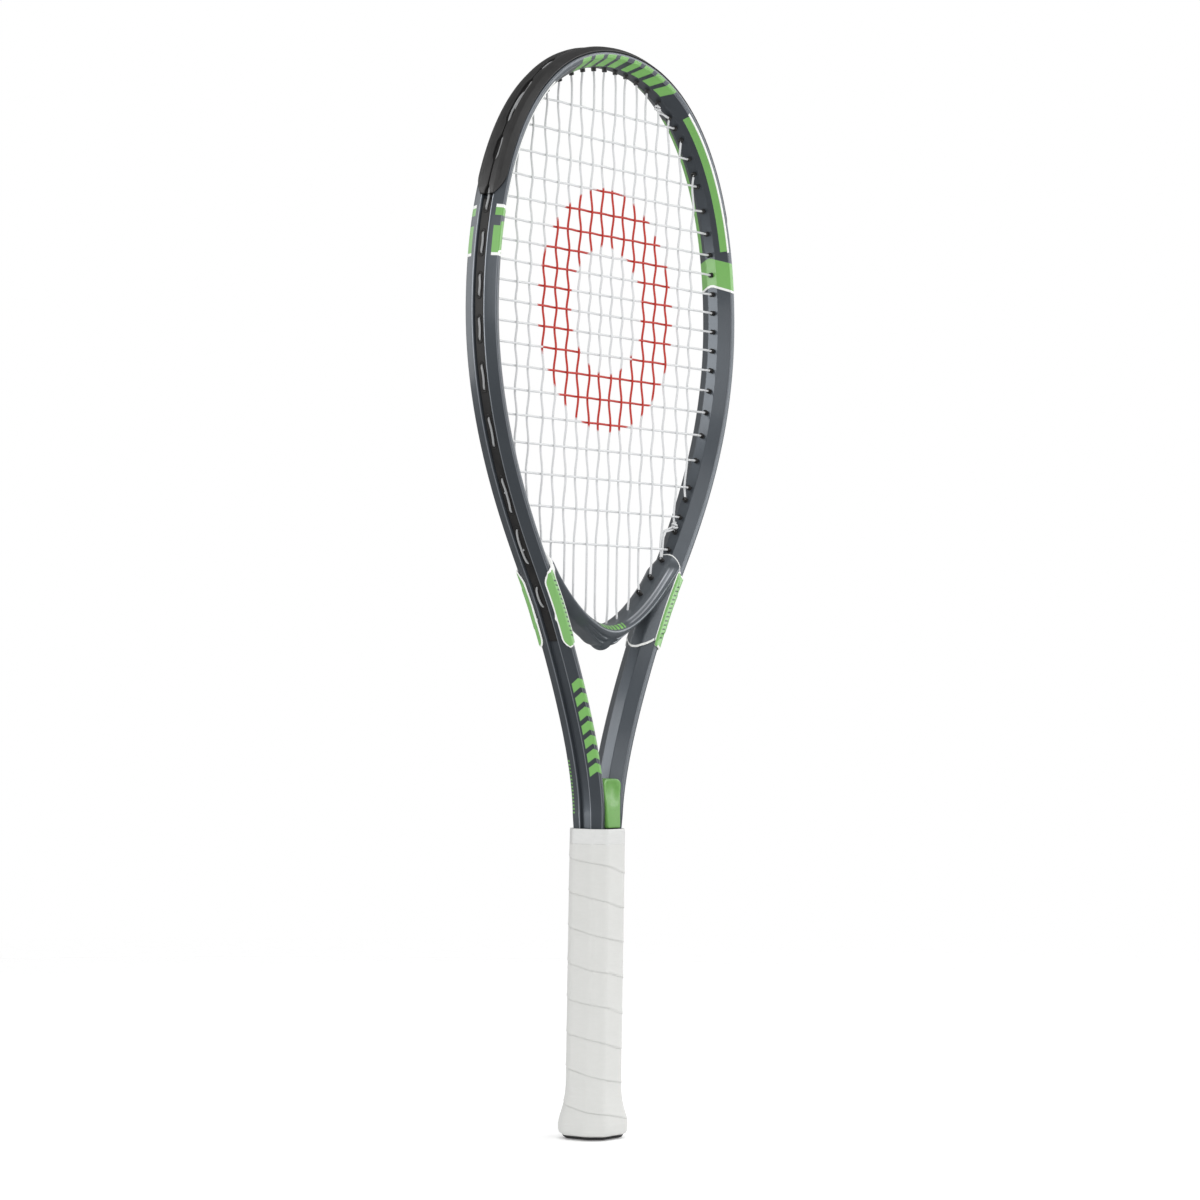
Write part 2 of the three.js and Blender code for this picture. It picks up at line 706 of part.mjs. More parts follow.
// A wire staple through the butt cap into the core, or the room for one when it is grown.
function staple(face, grow) {
  const wire = STAPLE_WIRE + 2 * grow;
  const width = STAPLE_WIDTH + 2 * grow;
  const legX = (STAPLE_WIDTH - STAPLE_WIRE) / 2;
  const legY = STAPLE_CROWN_Y - STAPLE_LEG / 2;
  const crown = box(width, wire, wire, 0, face * STAPLE_CROWN_Y, STAPLE_Z);
  const length = STAPLE_LEG + 2 * grow;
  const legs = BOTH_SIDES.map((side) => box(wire, length, wire, side * legX, face * legY, STAPLE_Z));
  if (grow === 0) return joined([crown, ...legs]);
  const slot = box(width, 4 * grow, wire, 0, face * (STAPLE_CROWN_Y + 2 * grow), STAPLE_Z);
  return joined([crown, ...legs, slot]);
}

// One sleeve that stands for the strip wound round the handle, over the butt cap's flare and under the band.
function gripTape() {
  const thickness = 0.085; // as a share of the grip's size
  return octagonal([
    [1.13, 1.2],
    [1.2, 3],
    [BUTT_FLARE, 8.5],
    [1.19, 14],
    [1.06, 23],
    [1, 33],
    [1, BAND_LOW_Z - GAP],
    [0.965, BAND_LOW_Z - GAP],
    [0.965, BAND_LOW_Z + 2],
    [0.93, BAND_LOW_Z + 2],
    [0.93, BAND_LOW_Z - 1],
    [1 - thickness, BAND_LOW_Z - 2],
    [1 - thickness, CAP_TOP_Z + 1],
    [0.93, CAP_TOP_Z],
    [0.975, 23],
    [1.105, 14],
    [BUTT_FLARE - 0.09, 9],
    [1.165, 3],
    [1.13, 1.2],
  ]);
}

const finishingTape = () =>
  octagonal([
    [0.985, BAND_LOW_Z],
    [1.01, BAND_LOW_Z],
    [1.01, GRIP_TOP_Z],
    [0.985, GRIP_TOP_Z],
    [0.985, BAND_LOW_Z],
  ]);

// ---- Assembly ----

function frameTube() {
  const bore = new THREE.Path(boreOutline());
  const tube = sweep({ outline: tubeOutline, holes: [bore] }, frameStations);
  const holes = BOTH_SIDES.flatMap((side) =>
    anchorBars(tubeAnchors, side, TUBE_HOLE_HALF, PAST, CHANNEL_EDGE[0]),
  );
  return tube.subtract(joined(holes));
}

const above = crossEnds.filter(({ mouth }) => mouth.y > GUARD_END_Z);
const below = crossEnds.filter(({ mouth }) => mouth.y <= GUARD_END_Z);
const feet = mainFeet.filter((anchor) => anchor.station);
const guardRight = stationsOn(1, GUARD_END_Z, LENGTH);
const guardStations = [...guardRight.slice(1).map(mirrored).reverse(), ...guardRight];
const guardBarrels = BOTH_SIDES.map((side) => ({ side, anchors: [...mainTops, ...above] }));

addPiece("frame_tube", frameTube(), slateMetal);
addPiece("throat_bridge", throatBridge(), slatePlastic);
addPiece("bumper_guard", linedStrip(guardOutline, guardStations, guardBarrels), blackNylon);
for (const [name, side] of Object.entries({ left: -1, right: 1 })) {
  const stations = stationsOn(side, STRIP_END_Z, GUARD_END_Z);
  const barrels = [{ side, anchors: [...below, ...feet] }];
  addPiece("grommet_strip_" + name, linedStrip(stripOutline, stations, barrels), blackNylon);
}
addPiece("main_string", stringAlong(mainRoute()), whiteString);
addPiece("cross_string", stringAlong(crossRoute()), whiteString);
addPiece("throat_wedge", throatWedge(), greenPlastic);
for (const [name, face] of Object.entries({ front: FACES[0], back: FACES[1] })) {
  addPiece("handle_half_" + name, handleHalf(face), palletPlastic);
  addPiece("butt_staple_" + name, staple(face, 0), steel);
}
for (const [name, z] of Object.entries(RIVET_HEIGHTS)) {
  addPiece("handle_rivet_" + name, rivetAt(z, RIVET_RADIUS, RIVET_HALF_LENGTH), steel);
}
addPiece("butt_cap", buttCap(), blackNylon);
addPiece("butt_cap_door", buttDoor(), blackNylon);
addPiece("grip_tape", gripTape(), whiteGrip);
addPiece("finishing_tape", finishingTape(), whiteTape);

export default racket;
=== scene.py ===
"""The looks of a full-size tennis racket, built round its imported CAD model.

Shapes are worked out in millimetres in the CAD model's frame, and turned into metres where a mesh is made.
+Z runs up the axis to the tip, X runs across the head, and the front of the strings faces -Y. Sections are
flat outlines of (u, w) points: u is the distance outward from the line that they are swept along, and w the
distance to the front.
"""

import itertools
import math
from functools import partialmethod, reduce

import bmesh
import bpy
import numpy as np
from mathutils import Matrix, Vector


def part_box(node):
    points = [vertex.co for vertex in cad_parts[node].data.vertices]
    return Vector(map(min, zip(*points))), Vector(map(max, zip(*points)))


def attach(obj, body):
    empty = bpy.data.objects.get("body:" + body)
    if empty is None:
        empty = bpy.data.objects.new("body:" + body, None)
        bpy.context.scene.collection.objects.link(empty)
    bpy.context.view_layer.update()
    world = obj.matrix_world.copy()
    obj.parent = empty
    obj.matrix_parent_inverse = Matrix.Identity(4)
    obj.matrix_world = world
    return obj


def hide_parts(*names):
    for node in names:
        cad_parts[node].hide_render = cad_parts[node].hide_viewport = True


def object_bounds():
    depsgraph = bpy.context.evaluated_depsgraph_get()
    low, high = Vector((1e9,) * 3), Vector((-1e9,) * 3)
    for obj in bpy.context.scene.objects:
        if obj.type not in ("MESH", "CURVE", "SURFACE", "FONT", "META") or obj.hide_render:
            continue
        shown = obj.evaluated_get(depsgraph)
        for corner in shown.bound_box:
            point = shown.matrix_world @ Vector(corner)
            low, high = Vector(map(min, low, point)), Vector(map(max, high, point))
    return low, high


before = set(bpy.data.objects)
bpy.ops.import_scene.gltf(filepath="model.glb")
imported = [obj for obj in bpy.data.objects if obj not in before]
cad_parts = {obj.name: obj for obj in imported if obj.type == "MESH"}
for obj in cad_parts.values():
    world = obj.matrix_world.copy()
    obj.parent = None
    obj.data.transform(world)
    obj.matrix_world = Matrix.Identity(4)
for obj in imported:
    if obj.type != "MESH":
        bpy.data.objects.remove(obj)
cad_low, cad_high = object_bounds()

# ---- Driving dimensions, in millimetres ----

MM = 0.001
MIRROR = np.array([-1, 1])  # turns x and z on the right half into the left half's
LENGTH = cad_high.z / MM
HALF_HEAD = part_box("frame_tube")[1].x / MM

# The tube's section, from its channel round to the middle of its inner side
CHANNEL_FLOOR = (2.5, 3.2)
CHANNEL_EDGE = (5.4, 3.9)
OUTER_CREASE = (2.0, 11.9)
INNER_CREASE = (-1.6, 11.2)
INNER_FLAT = (-6.5, 3.8)

# The centre line of the tube's right half, as x and z, and leans from the vertical in degrees
GUARD_HEIGHT = 6.5
CROWN = (0, LENGTH - GUARD_HEIGHT)
WIDEST = (HALF_HEAD - CHANNEL_EDGE[0], 525)
THROAT = (59.3, 335.6)
THROAT_LEAN = 28.6
SHAFT = (9.8, 206.5)
SHAFT_LEAN = 2.75
LEG_BEND = (7.8, 172)
LEG_END = (7.2, 34)
LEG_SIZE = 0.86

# Reaches of the curves' handles: shares of the half head's width and height, then millimetres
SHOULDER_HANDLES = (0.62, 0.6)
HIP_HANDLES = (90.7, 34.9)
SIDE_HANDLES = (47.8, 35.5)

# Strings
STRING_RADIUS = 0.72
KNOT_STRING_RADIUS = 0.68
WEAVE = 0.8
MAINS_PER_SIDE = 8
MAIN_PITCH = 12.4
MAIN_SPREAD = 9.0
FOOT_LEANS = {6: 0.9, 8: 4}  # how much nearer to the middle a main's foot is than its top
CROSSES = 19
CROSS_MIDDLE_Z = 526.9
CROSS_PITCH = 12.63
CROSS_SKEW = 0.108
CROSS_SPREAD = 0.0348
KNOT_RADIUS = 1.7
TOP_KNOT_Z = 668
RING_MIDDLE_Z = 530
RING_RADII = (41, 78)

# Grommets
MOUTH_DEPTH = 7.7
SADDLE_MOUTH_DEPTHS = {4: 20.6, 5: 15.2, 6: 10.9}
BARREL_PROUD = 1.3  # how much further in than its CAD solid a barrel's mouth shows
BARREL_RADIUS = 1.65
BARREL_HOLE_RADIUS = 0.8
STRIP_FLOOR = 2.8
STRIP_FACE = 3.8
LOOP_SIDESTEP = 1.0
GUARD_END_Z = 588
GUARD_TAPER = 14  # how far from its ends the guard's lips reach their full width
GUARD_END_HEIGHT = 5.6
SLOT_HALF_WIDTHS = {"closed": 0.4, "open": 2.1}
FLANGE_RADII = {"guard": 1.9, "strip": 2.1}
STRIP_END_Z = 318

# Throat bridge
BRIDGE_TOP_Z = 328.5
BRIDGE_HANDLES = ((24, BRIDGE_TOP_Z), (54, 351))
BRIDGE_END = (76, 378)
BRIDGE_DEPTH = 14.2

# Throat wedge
WEDGE_LOW_Z = 198
WEDGE_HIGH_Z = 229.5
WEDGE_HALF_DEPTHS = {"low": 13.2, "high": 11}
BOWL_Z = 222
BOWL_RADII = (8.2, 4.2, 9)

# Handle
GRIP_HALF_X = 16.9
GRIP_HALF_Y = 14.5
GRIP_FLAT_HALF_ON_Y = 10
GRIP_FLAT_HALF_ON_X = 7.6
BAND_LOW_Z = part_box("finishing_tape")[0].z / MM
BAND_HIGH_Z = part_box("finishing_tape")[1].z / MM
WRAP_PITCH = 22.5
GRIP_LOW_Z = 2.8
FLARE_TOP_Z = 33


# ---- Lines and sections ----


def bezier(start, first, second, end, count=400):
    t = np.linspace(0, 1, count)[:, None]
    start, first, second, end = map(np.array, (start, first, second, end))
    return (1 - t) ** 3 * start + 3 * (1 - t) ** 2 * t * first + 3 * (1 - t) * t**2 * second + t**3 * end


def smooth_step(value, low, high):
    t = np.clip((value - low) / (high - low), 0, 1)
    return t * t * (3 - 2 * t)


def full_turn(count):
    return np.linspace(0, 2 * math.pi, count, endpoint=False)


def lengths_along(points):
    return np.r_[0, np.cumsum(np.hypot(*np.diff(points, axis=0).T))]


class Line:
    """A flat line in the XZ plane as samples of arc length, place, outward direction and section size."""

    def __init__(self, arc, point, outward, size):
        self.arc, self.point, self.outward, self.size = arc, point, outward, size

    def part(self, wanted):
        return Line(self.arc[wanted], self.point[wanted], self.outward[wanted], self.size[wanted])

    def both_halves(self):
        """The line from its left end over the middle to its right end, with arcs below zero on the left."""
        left = self.part(slice(None, 0, -1))
        return Line(
            np.r_[-left.arc, self.arc],
            np.vstack([left.point * MIRROR, self.point]),
            np.vstack([left.outward * MIRROR, self.outward]),
            np.r_[left.size, self.size],
        )

    def place(self, arc, u):
        """The point at an arc length, u outward of the line."""
        return np.array([np.interp(arc, self.arc, values) for values in (self.point + u * self.outward).T])

    def find(self, depth, axis, value, from_end=False):
        """The arc where the line at a depth inside this one reaches a value of x (axis 0) or z (axis 1)."""
        error = (self.point - depth * self.outward)[:, axis] - value
        crossings = np.nonzero(error[:-1] * error[1:] <= 0)[0]
        i = crossings[-1 if from_end else 0]
        share = error[i] / (error[i] - error[i + 1])
        return self.arc[i] + share * (self.arc[i + 1] - self.arc[i])


def line_through(points, spacing, sizes=1):
    """A line sampled evenly along points, with its section's size given at each of them."""
    reached = lengths_along(points)
    arc = np.linspace(0, reached[-1], math.ceil(reached[-1] / spacing) + 1)
    point = np.column_stack([np.interp(arc, reached, values) for values in points.T])
    along = np.gradient(point, axis=0)
    along /= np.hypot(*along.T)[:, None]
    size = np.interp(arc, reached, np.broadcast_to(sizes, len(reached)))
    return Line(arc, point, np.column_stack([-along[:, 1], along[:, 0]]), size)


def leaning(degrees):
    angle = math.radians(degrees)
    return np.array([math.sin(angle), math.cos(angle)])


def frame_half(spacing):
    """The right half of the frame's centre line, from the crown down to the end of the leg."""
    crown, widest, throat, shaft = map(np.array, (CROWN, WIDEST, THROAT, SHAFT))
    half_width, height = widest
    rise = crown[1] - height
    across, up = SHOULDER_HANDLES
    shoulder = bezier(crown, (across * half_width, crown[1]), (half_width, height + up * rise), widest)
    throat_up, shaft_up = leaning(THROAT_LEAN), leaning(SHAFT_LEAN)
    hip = bezier(widest, (half_width, height - HIP_HANDLES[0]), throat + HIP_HANDLES[1] * throat_up, throat)
    side = bezier(throat, throat - SIDE_HANDLES[0] * throat_up, shaft + SIDE_HANDLES[1] * shaft_up, shaft)
    points = np.vstack([shoulder, hip[1:], side[1:], [LEG_BEND, LEG_END]])
    return line_through(points, spacing, np.r_[np.ones(len(points) - 2), LEG_SIZE, LEG_SIZE])


CORNER_SHARE = 0.45  # the most that a corner's curve takes of a side


def rounded(corners, radii, arc_steps=4, side_steps=3):
    """A closed outline with a curve at each corner and each straight side cut into steps."""
    corners = np.array(corners, float)
    radii = np.broadcast_to(radii, len(corners))
    curves = []
    for corner, before, after, radius in zip(corners, np.roll(corners, 1, 0), np.roll(corners, -1, 0), radii):
        back, ahead = before - corner, after - corner
        back_length, ahead_length = np.hypot(*back), np.hypot(*ahead)
        turn = math.acos(np.clip(back @ ahead / (back_length * ahead_length), -1, 1)) / 2
        reach = min(radius / math.tan(turn), CORNER_SHARE * min(back_length, ahead_length))
        start, end = corner + back * reach / back_length, corner + ahead * reach / ahead_length
        t = np.linspace(0, 1, arc_steps + 1)[:, None]
        curves.append((1 - t) ** 2 * start + 2 * t * (1 - t) * corner + t**2 * end)
    outline = []
    for curve, following in zip(curves, curves[1:] + curves[:1]):
        share = np.linspace(0, 1, side_steps + 1)[1:-1, None]
        outline += [curve, curve[-1] + share * (following[0] - curve[-1])]
    return np.vstack(outline)


def rounded_halves(half, radii, *steps):
    """A rounded closed outline from its front half, given from the outside in."""
    return rounded([*half, *[(u, -w) for u, w in reversed(half)]], (*radii, *reversed(radii)), *steps)


# ---- Meshes ----


def to_mesh(name, points, faces):
    mesh = bpy.data.meshes.new(name)
    mesh.from_pydata((np.asarray(points) * MM).tolist(), [], faces)
    work = bmesh.new()
    work.from_mesh(mesh)
    bmesh.ops.recalc_face_normals(work, faces=work.faces)
    work.to_mesh(mesh)
    work.free()
    mesh.shade_smooth()
    return mesh


def add_attribute(mesh, name, *columns):
    """Keeps up to three values at each point of a mesh, for its finish to read."""
    values = np.zeros((len(mesh.vertices), 3), np.float32)
    for i, column in enumerate(columns):
        values[:, i] = np.ravel(column)
    mesh.attributes.new(name, "FLOAT_VECTOR", "POINT").data.foreach_set("vector", values.ravel())


def add_piece(mesh, material, slot, *replaced):
    piece = bpy.data.objects.new(mesh.name, mesh)
    bpy.context.scene.collection.objects.link(piece)
    mesh.materials.append(material)
    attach(piece, "root")
    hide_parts(*replaced)
    return piece


def tube_faces(rings, around, closed=False, capped=True, first=0):
    """The faces of a tube of rings with the same number of points round each."""
    faces = []
    for i in range(rings if closed else rings - 1):
        here, there = first + i * around, first + (i + 1) % rings * around
        for j in range(around):
            k = (j + 1) % around
            faces.append((here + j, here + k, there + k, there + j))
    if capped and not closed:
        last = first + (rings - 1) * around
        faces += [tuple(range(first, first + around)), tuple(range(last, last + around))]
    return faces


def swept(section, line):
    """The rings of a section, or of one section for each place, swept along a line."""
    u, w = section[..., 0] * line.size[:, None], section[..., 1] * line.size[:, None]
    x = line.point[:, :1] + line.outward[:, :1] * u
    z = line.point[:, 1:] + line.outward[:, 1:] * u
    return np.stack([x, -w, z], axis=-1)


def tubes_mesh(name, *tubes):
    """A mesh of tubes, each given as its rings and whether it closes on itself."""
    points, faces, first = [], [], 0
    for rings, closed in tubes:
        faces += tube_faces(len(rings), rings.shape[1], closed, first=first)
        points.append(rings.reshape(-1, 3))
        first += len(points[-1])
    return to_mesh(name, np.vstack(points), faces)


# ---- Shader trees ----


class Wire:
    """A number on a shader tree's wire. Arithmetic on wires makes Math nodes, so masks read as plain sums."""

    def __init__(self, tree, socket):
        self.tree, self.socket = tree, socket

    def combined(self, operation, *others):
        node = self.tree.nodes.new("ShaderNodeMath")
        node.operation = operation
        for i, value in enumerate((self, *others)):
            if isinstance(value, Wire):
                self.tree.links.new(value.socket, node.inputs[i])
            else:
                node.inputs[i].default_value = value
        return Wire(self.tree, node.outputs[0])

    __add__ = partialmethod(combined, "ADD")
    __sub__ = partialmethod(combined, "SUBTRACT")
    __mul__ = partialmethod(combined, "MULTIPLY")
    size = partialmethod(combined, "ABSOLUTE")
    root = partialmethod(combined, "SQRT")
    fraction = partialmethod(combined, "FRACT")
    most = partialmethod(combined, "MAXIMUM")
    least = partialmethod(combined, "MINIMUM")

    def clipped(self):
        return self.most(0).least(1)

    def inverse(self):
        return self * -1 + 1

    def above(self, edge, soft=0.12):
        """1 where this is above the edge and 0 below it, with a slope as wide as soft between."""
        return ((self - edge) * (1 / soft) + 0.5).clipped()

    def between(self, low, high, soft=0.12):
        return self.above(low, soft) * self.above(high, soft).inverse()

    def every(self, pitch, low, high, soft):
        """1 between two shares of each step of a pitch."""
        return (self * (1 / pitch)).fraction().between(low, high, soft)


class Finish:
    """A material with its Principled shader and short ways to build what feeds it."""

    def __init__(self, name, **uniform):
        self.material = bpy.data.materials.new(name)
        self.material.use_nodes = True
        self.tree = self.material.node_tree
        self.shader = next(node for node in self.tree.nodes if node.type == "BSDF_PRINCIPLED")
        for socket, value in uniform.items():
            self.shader.inputs[socket.replace("_", " ")].default_value = value

    def parts(self, socket):
        node = self.tree.nodes.new("ShaderNodeSeparateXYZ")
        self.tree.links.new(socket, node.inputs[0])
        return [Wire(self.tree, output) for output in node.outputs]

    def attribute(self, name):
        node = self.tree.nodes.new("ShaderNodeAttribute")
        node.attribute_name = name
        return self.parts(node.outputs["Vector"])

    def millimetres(self, stretch=(1, 1, 1)):
        """The place in the object, in millimetres, as a vector socket."""
        place = self.tree.nodes.new("ShaderNodeTexCoord").outputs["Object"]
        scaled = self.tree.nodes.new("ShaderNodeVectorMath")
        scaled.operation = "MULTIPLY"
        scaled.inputs[1].default_value = [part / MM for part in stretch]
        self.tree.links.new(place, scaled.inputs[0])
        return scaled.outputs[0]

    def noise(self, size, detail=2.0, stretch=(1, 1, 1)):
        """Noise from about 0 to 1, with features of a size in millimetres."""
        node = self.tree.nodes.new("ShaderNodeTexNoise")
        node.inputs["Scale"].default_value = 1 / size
        node.inputs["Detail"].default_value = detail
        self.tree.links.new(self.millimetres(stretch), node.inputs["Vector"])
        return Wire(self.tree, node.outputs[0])

    def mixed(self, share, under, over):
        node = self.tree.nodes.new("ShaderNodeMix")
        node.data_type = "RGBA"
        self.tree.links.new(share.socket, node.inputs[0])
        for place, colour in ((6, under), (7, over)):
            if isinstance(colour, tuple):
                node.inputs[place].default_value = (*colour, 1)
            else:
                self.tree.links.new(colour, node.inputs[place])
        return node.outputs[2]

    def feed(self, name, value):
        socket = value.socket if isinstance(value, Wire) else value
        self.tree.links.new(socket, self.shader.inputs[name])

    def surface(self, colour, roughness, height, depth):
        """The finished material, raised by a height wire times a depth in millimetres."""
        bump = self.tree.nodes.new("ShaderNodeBump")
        bump.inputs["Distance"].default_value = depth * MM
        bump.inputs["Strength"].default_value = 1
        self.tree.links.new(height.socket, bump.inputs["Height"])
        self.feed("Normal", bump.outputs[0])
        self.feed("Base Color", colour)
        self.feed("Roughness", roughness)
        return self.material


def plain_finish(name, colours, pattern, roughness, grain, depth, **uniform):
    """A finish with one noise for its colour and roughness, and one that raises it by a depth."""
    finish = Finish(name, **uniform)
    pattern = finish.noise(*pattern)
    colour = finish.mixed(pattern, *colours)
    return finish.surface(colour, pattern * roughness[0] + roughness[1], finish.noise(*grain), depth)


def moulded_finish(name, colours):
    return plain_finish(name, colours, (5, 3), (0.2, 0.45), (0.45, 2), 0.08, Specular_IOR_Level=0.4)


# ---- Colours, linear. Noise mixes the two of a pair. ----

SLATES = ((0.064, 0.075, 0.088), (0.102, 0.116, 0.132))
BRIDGE_SLATES = ((0.074, 0.086, 0.098), (0.135, 0.153, 0.171))
# Painted highlight: the lighter lines along the frame's creases
EDGE_HIGHLIGHT = (0.27, 0.29, 0.32)
# Painted highlight along the throat bridge's two ridge lines
RIDGE_HIGHLIGHT = (0.36, 0.38, 0.41)
GREENS = ((0.165, 0.41, 0.095), (0.2, 0.5, 0.12))
WEDGE_GREENS = ((0.12, 0.33, 0.06), (0.165, 0.38, 0.095))
PAD_GREEN = (0.2, 0.45, 0.13)
DASH_GREEN = (0.25, 0.6, 0.14)
TICK_GREEN = (0.02, 0.09, 0.02)
WHITE = (0.85, 0.86, 0.84)
RED = (0.5, 0.022, 0.01)
STRING_WHITES = ((0.7, 0.71, 0.72), (0.62, 0.63, 0.64))
# Painted shade: the string darkened where it lies in the frame's channel
STRING_CHANNEL_SHADE = (0.26, 0.265, 0.27)
GRIP_WHITES = ((0.6, 0.605, 0.585), (0.66, 0.66, 0.645))
# Painted shade for the grip's seams
SEAM_SHADE = (0.3, 0.3, 0.29)
TAPE_WHITES = ((0.6, 0.61, 0.6), (0.68, 0.68, 0.67))
NYLON_BLACKS = ((0.012, 0.012, 0.013), (0.032, 0.031, 0.03))
BUTT_BLACKS = ((0.013, 0.013, 0.014), (0.035, 0.034, 0.034))
PALLET_BLACKS = ((0.03, 0.03, 0.031), (0.06, 0.058, 0.056))
STEELS = ((0.42, 0.42, 0.44), (0.6, 0.6, 0.61))
FLOOR_WHITES = ((0.93, 0.93, 0.93), (0.96, 0.96, 0.96))


# ---- The frame tube ----

half_line = frame_half(1.5)
whole_line = half_line.both_halves()
TUBE_HALF = (CHANNEL_FLOOR, CHANNEL_EDGE, OUTER_CREASE, INNER_CREASE, INNER_FLAT)
tube_outline = rounded_halves(TUBE_HALF, (0.3, 1.1, 1.5, 1.5, 1.1))

# The paint's heights, and its girths: how far it is round the tube from the middle of the inner side
WRAP_HEIGHTS = (554, 572)
WRAP_GIRTHS = (-1, 16.4)
LOWER_BLOCK = (553, 569.6)
UPPER_BLOCK = (576, 580.8)
STRIPE_HEIGHTS = (581, 666)
STRIPE_GIRTHS = (7.6, 12.3)
BAR_PITCH = 14.5
BAR_GIRTHS = (4.4, 15.2)
BARS_REACH = 58
BARS_GAP = 3.6
CHEVRON_PITCH = 9
CHEVRON_HEIGHTS = (234.3, 296)
CHEVRON_GIRTHS = (13, 22.4)
CHEVRON_TIP_GIRTH = 17.4
TICK_PITCH = 2.4
TICK_HEIGHTS = (207, 243)
TICK_GIRTHS = (17, 19)
# Girths of the painted highlights along the two front creases and the channel edge
CREASE_HIGHLIGHT_GIRTHS = ((16, 16.7), (12.3, 12.9), (23.6, 24.4))


def girths(outline):
    """How far each point of an outline is from the middle of its inner side, along the outline."""
    steps = np.hypot(*(np.roll(outline, -1, 0) - outline).T)
    reached = np.r_[0, np.cumsum(steps)[:-1]]
    on_inner = outline[:, 0] < INNER_FLAT[0] / 2
    middle = np.interp(0, -outline[on_inner, 1], reached[on_inner])
    return np.abs(reached - middle)


def paint_finish():
    """Metallic slate with green and white bands, and thin painted highlights along its creases. The masks use
    z along the frame and the girth round it.
    """
    finish = Finish("frame_paint", Coat_Weight=0.35, Coat_Roughness=0.12)
    run, height, _ = finish.attribute("run")
    forward, girth, _ = finish.attribute("section")
    right = run.above(0)

    level = height - 5.6 + girth * 0.34
    wrap = girth.between(*WRAP_GIRTHS)
    wrapped = wrap * level.between(*WRAP_HEIGHTS)
    wrapped_line = wrap * level.between(WRAP_HEIGHTS[0] - 1.6, WRAP_HEIGHTS[0])
    on_bevel = (girth - right * 3.7).above(12.6) * girth.above(20.7).inverse()
    blocks = on_bevel * height.between(*LOWER_BLOCK).most(height.between(*UPPER_BLOCK))
    low_line = height.between(LOWER_BLOCK[0] - 1.8, LOWER_BLOCK[0])
    block_lines = on_bevel * low_line.most(height.between(UPPER_BLOCK[1], UPPER_BLOCK[1] + 2))
    stripe = girth.between(*STRIPE_GIRTHS) * height.between(*STRIPE_HEIGHTS)
    stripe_line = height.between(STRIPE_HEIGHTS[0] - 1, STRIPE_HEIGHTS[1] + 1)
    stripe_line = stripe_line * girth.between(STRIPE_GIRTHS[1], STRIPE_GIRTHS[1] + 1.5)

    # Slanted bars in two groups along the top, chevrons down one leg and ticks beside them.
    # The back repeats the front, half turned.
    turned = run * (forward.above(0) * 2 - 1)
    slant = turned - girth * 0.55
    bars = slant.every(BAR_PITCH, 0.12, 0.8, 0.02) * girth.between(*BAR_GIRTHS)
    bars = bars * slant.between(-BARS_REACH, BARS_REACH) * slant.between(-BARS_GAP, BARS_GAP).inverse()
    fold = (girth - CHEVRON_TIP_GIRTH).size() * 0.6 + height
    chevrons = fold.every(CHEVRON_PITCH, 0.1, 0.74, 0.03) * girth.between(*CHEVRON_GIRTHS)
    chevrons = chevrons * fold.between(*CHEVRON_HEIGHTS) * turned.above(0).inverse()
    ticks = height.every(TICK_PITCH, 0.3, 0.75, 0.06) * girth.between(*TICK_GIRTHS)
    ticks = ticks * height.between(*TICK_HEIGHTS) * turned.above(0) * right.inverse()

    green = wrapped.most(blocks).most(stripe).most(bars).most(chevrons).most(ticks)
    white = wrapped_line.most(block_lines).most(stripe_line)
    painted = green.most(white)
    flakes = finish.noise(0.35, 1)
    # Painted highlights: thin lighter lines where the rounded creases would catch the lamps
    crease_highlights = reduce(Wire.most, [girth.between(*span) for span in CREASE_HIGHLIGHT_GIRTHS])
    slate = finish.mixed((flakes * 0.7 + finish.noise(40, 2) * 0.5 - 0.3).clipped(), *SLATES)
    slate = finish.mixed(crease_highlights * 0.85, slate, EDGE_HIGHLIGHT)
    colour = finish.mixed(green, slate, finish.mixed(flakes * 0.5, *GREENS))
    finish.feed("Metallic", painted.inverse() * 0.6)
    roughness = flakes * 0.1 + finish.noise(9, 3) * 0.06 + 0.3
    raised = painted * 0.6 + finish.noise(1.2, 2) * 0.08
    return finish.surface(finish.mixed(white, colour, WHITE), roughness, raised, 0.05)


def build_frame():
    rings = swept(tube_outline, whole_line)
    mesh = tubes_mesh("frame_tube_skin", (rings, False))
    places, around = rings.shape[:2]
    add_attribute(mesh, "run", np.repeat(whole_line.arc, around), np.repeat(whole_line.point[:, 1], around))
    add_attribute(mesh, "section", np.tile(tube_outline[:, 1], places), np.tile(girths(tube_outline), places))
    piece = add_piece(mesh, paint_finish(), "frame_paint", "frame_tube")
    piece.modifiers.new("flat_faces", "WEIGHTED_NORMAL").weight = 80


# ---- String layout ----


def main_x(number):
    places = number - 0.5
    return MAIN_PITCH * places + MAIN_SPREAD * (places / (MAINS_PER_SIDE - 0.5)) ** 4


def main_foot_x(number):
    return main_x(number) - FOOT_LEANS.get(number, 0)


def cross_z(number):
    places = number - (CROSSES - 1) / 2
    return CROSS_MIDDLE_Z - CROSS_PITCH * places - CROSS_SKEW * places**2 - CROSS_SPREAD * places**3


main_numbers = range(1, MAINS_PER_SIDE + 1)
cross_numbers = range(CROSSES)
bridge_face = line_through(bezier((0, BRIDGE_TOP_Z), *BRIDGE_HANDLES, BRIDGE_END)[::-1], 0.5)
CHANNEL_STRING = STRIP_FACE + STRING_RADIUS + 0.1
GROOVE_DEPTH = 8


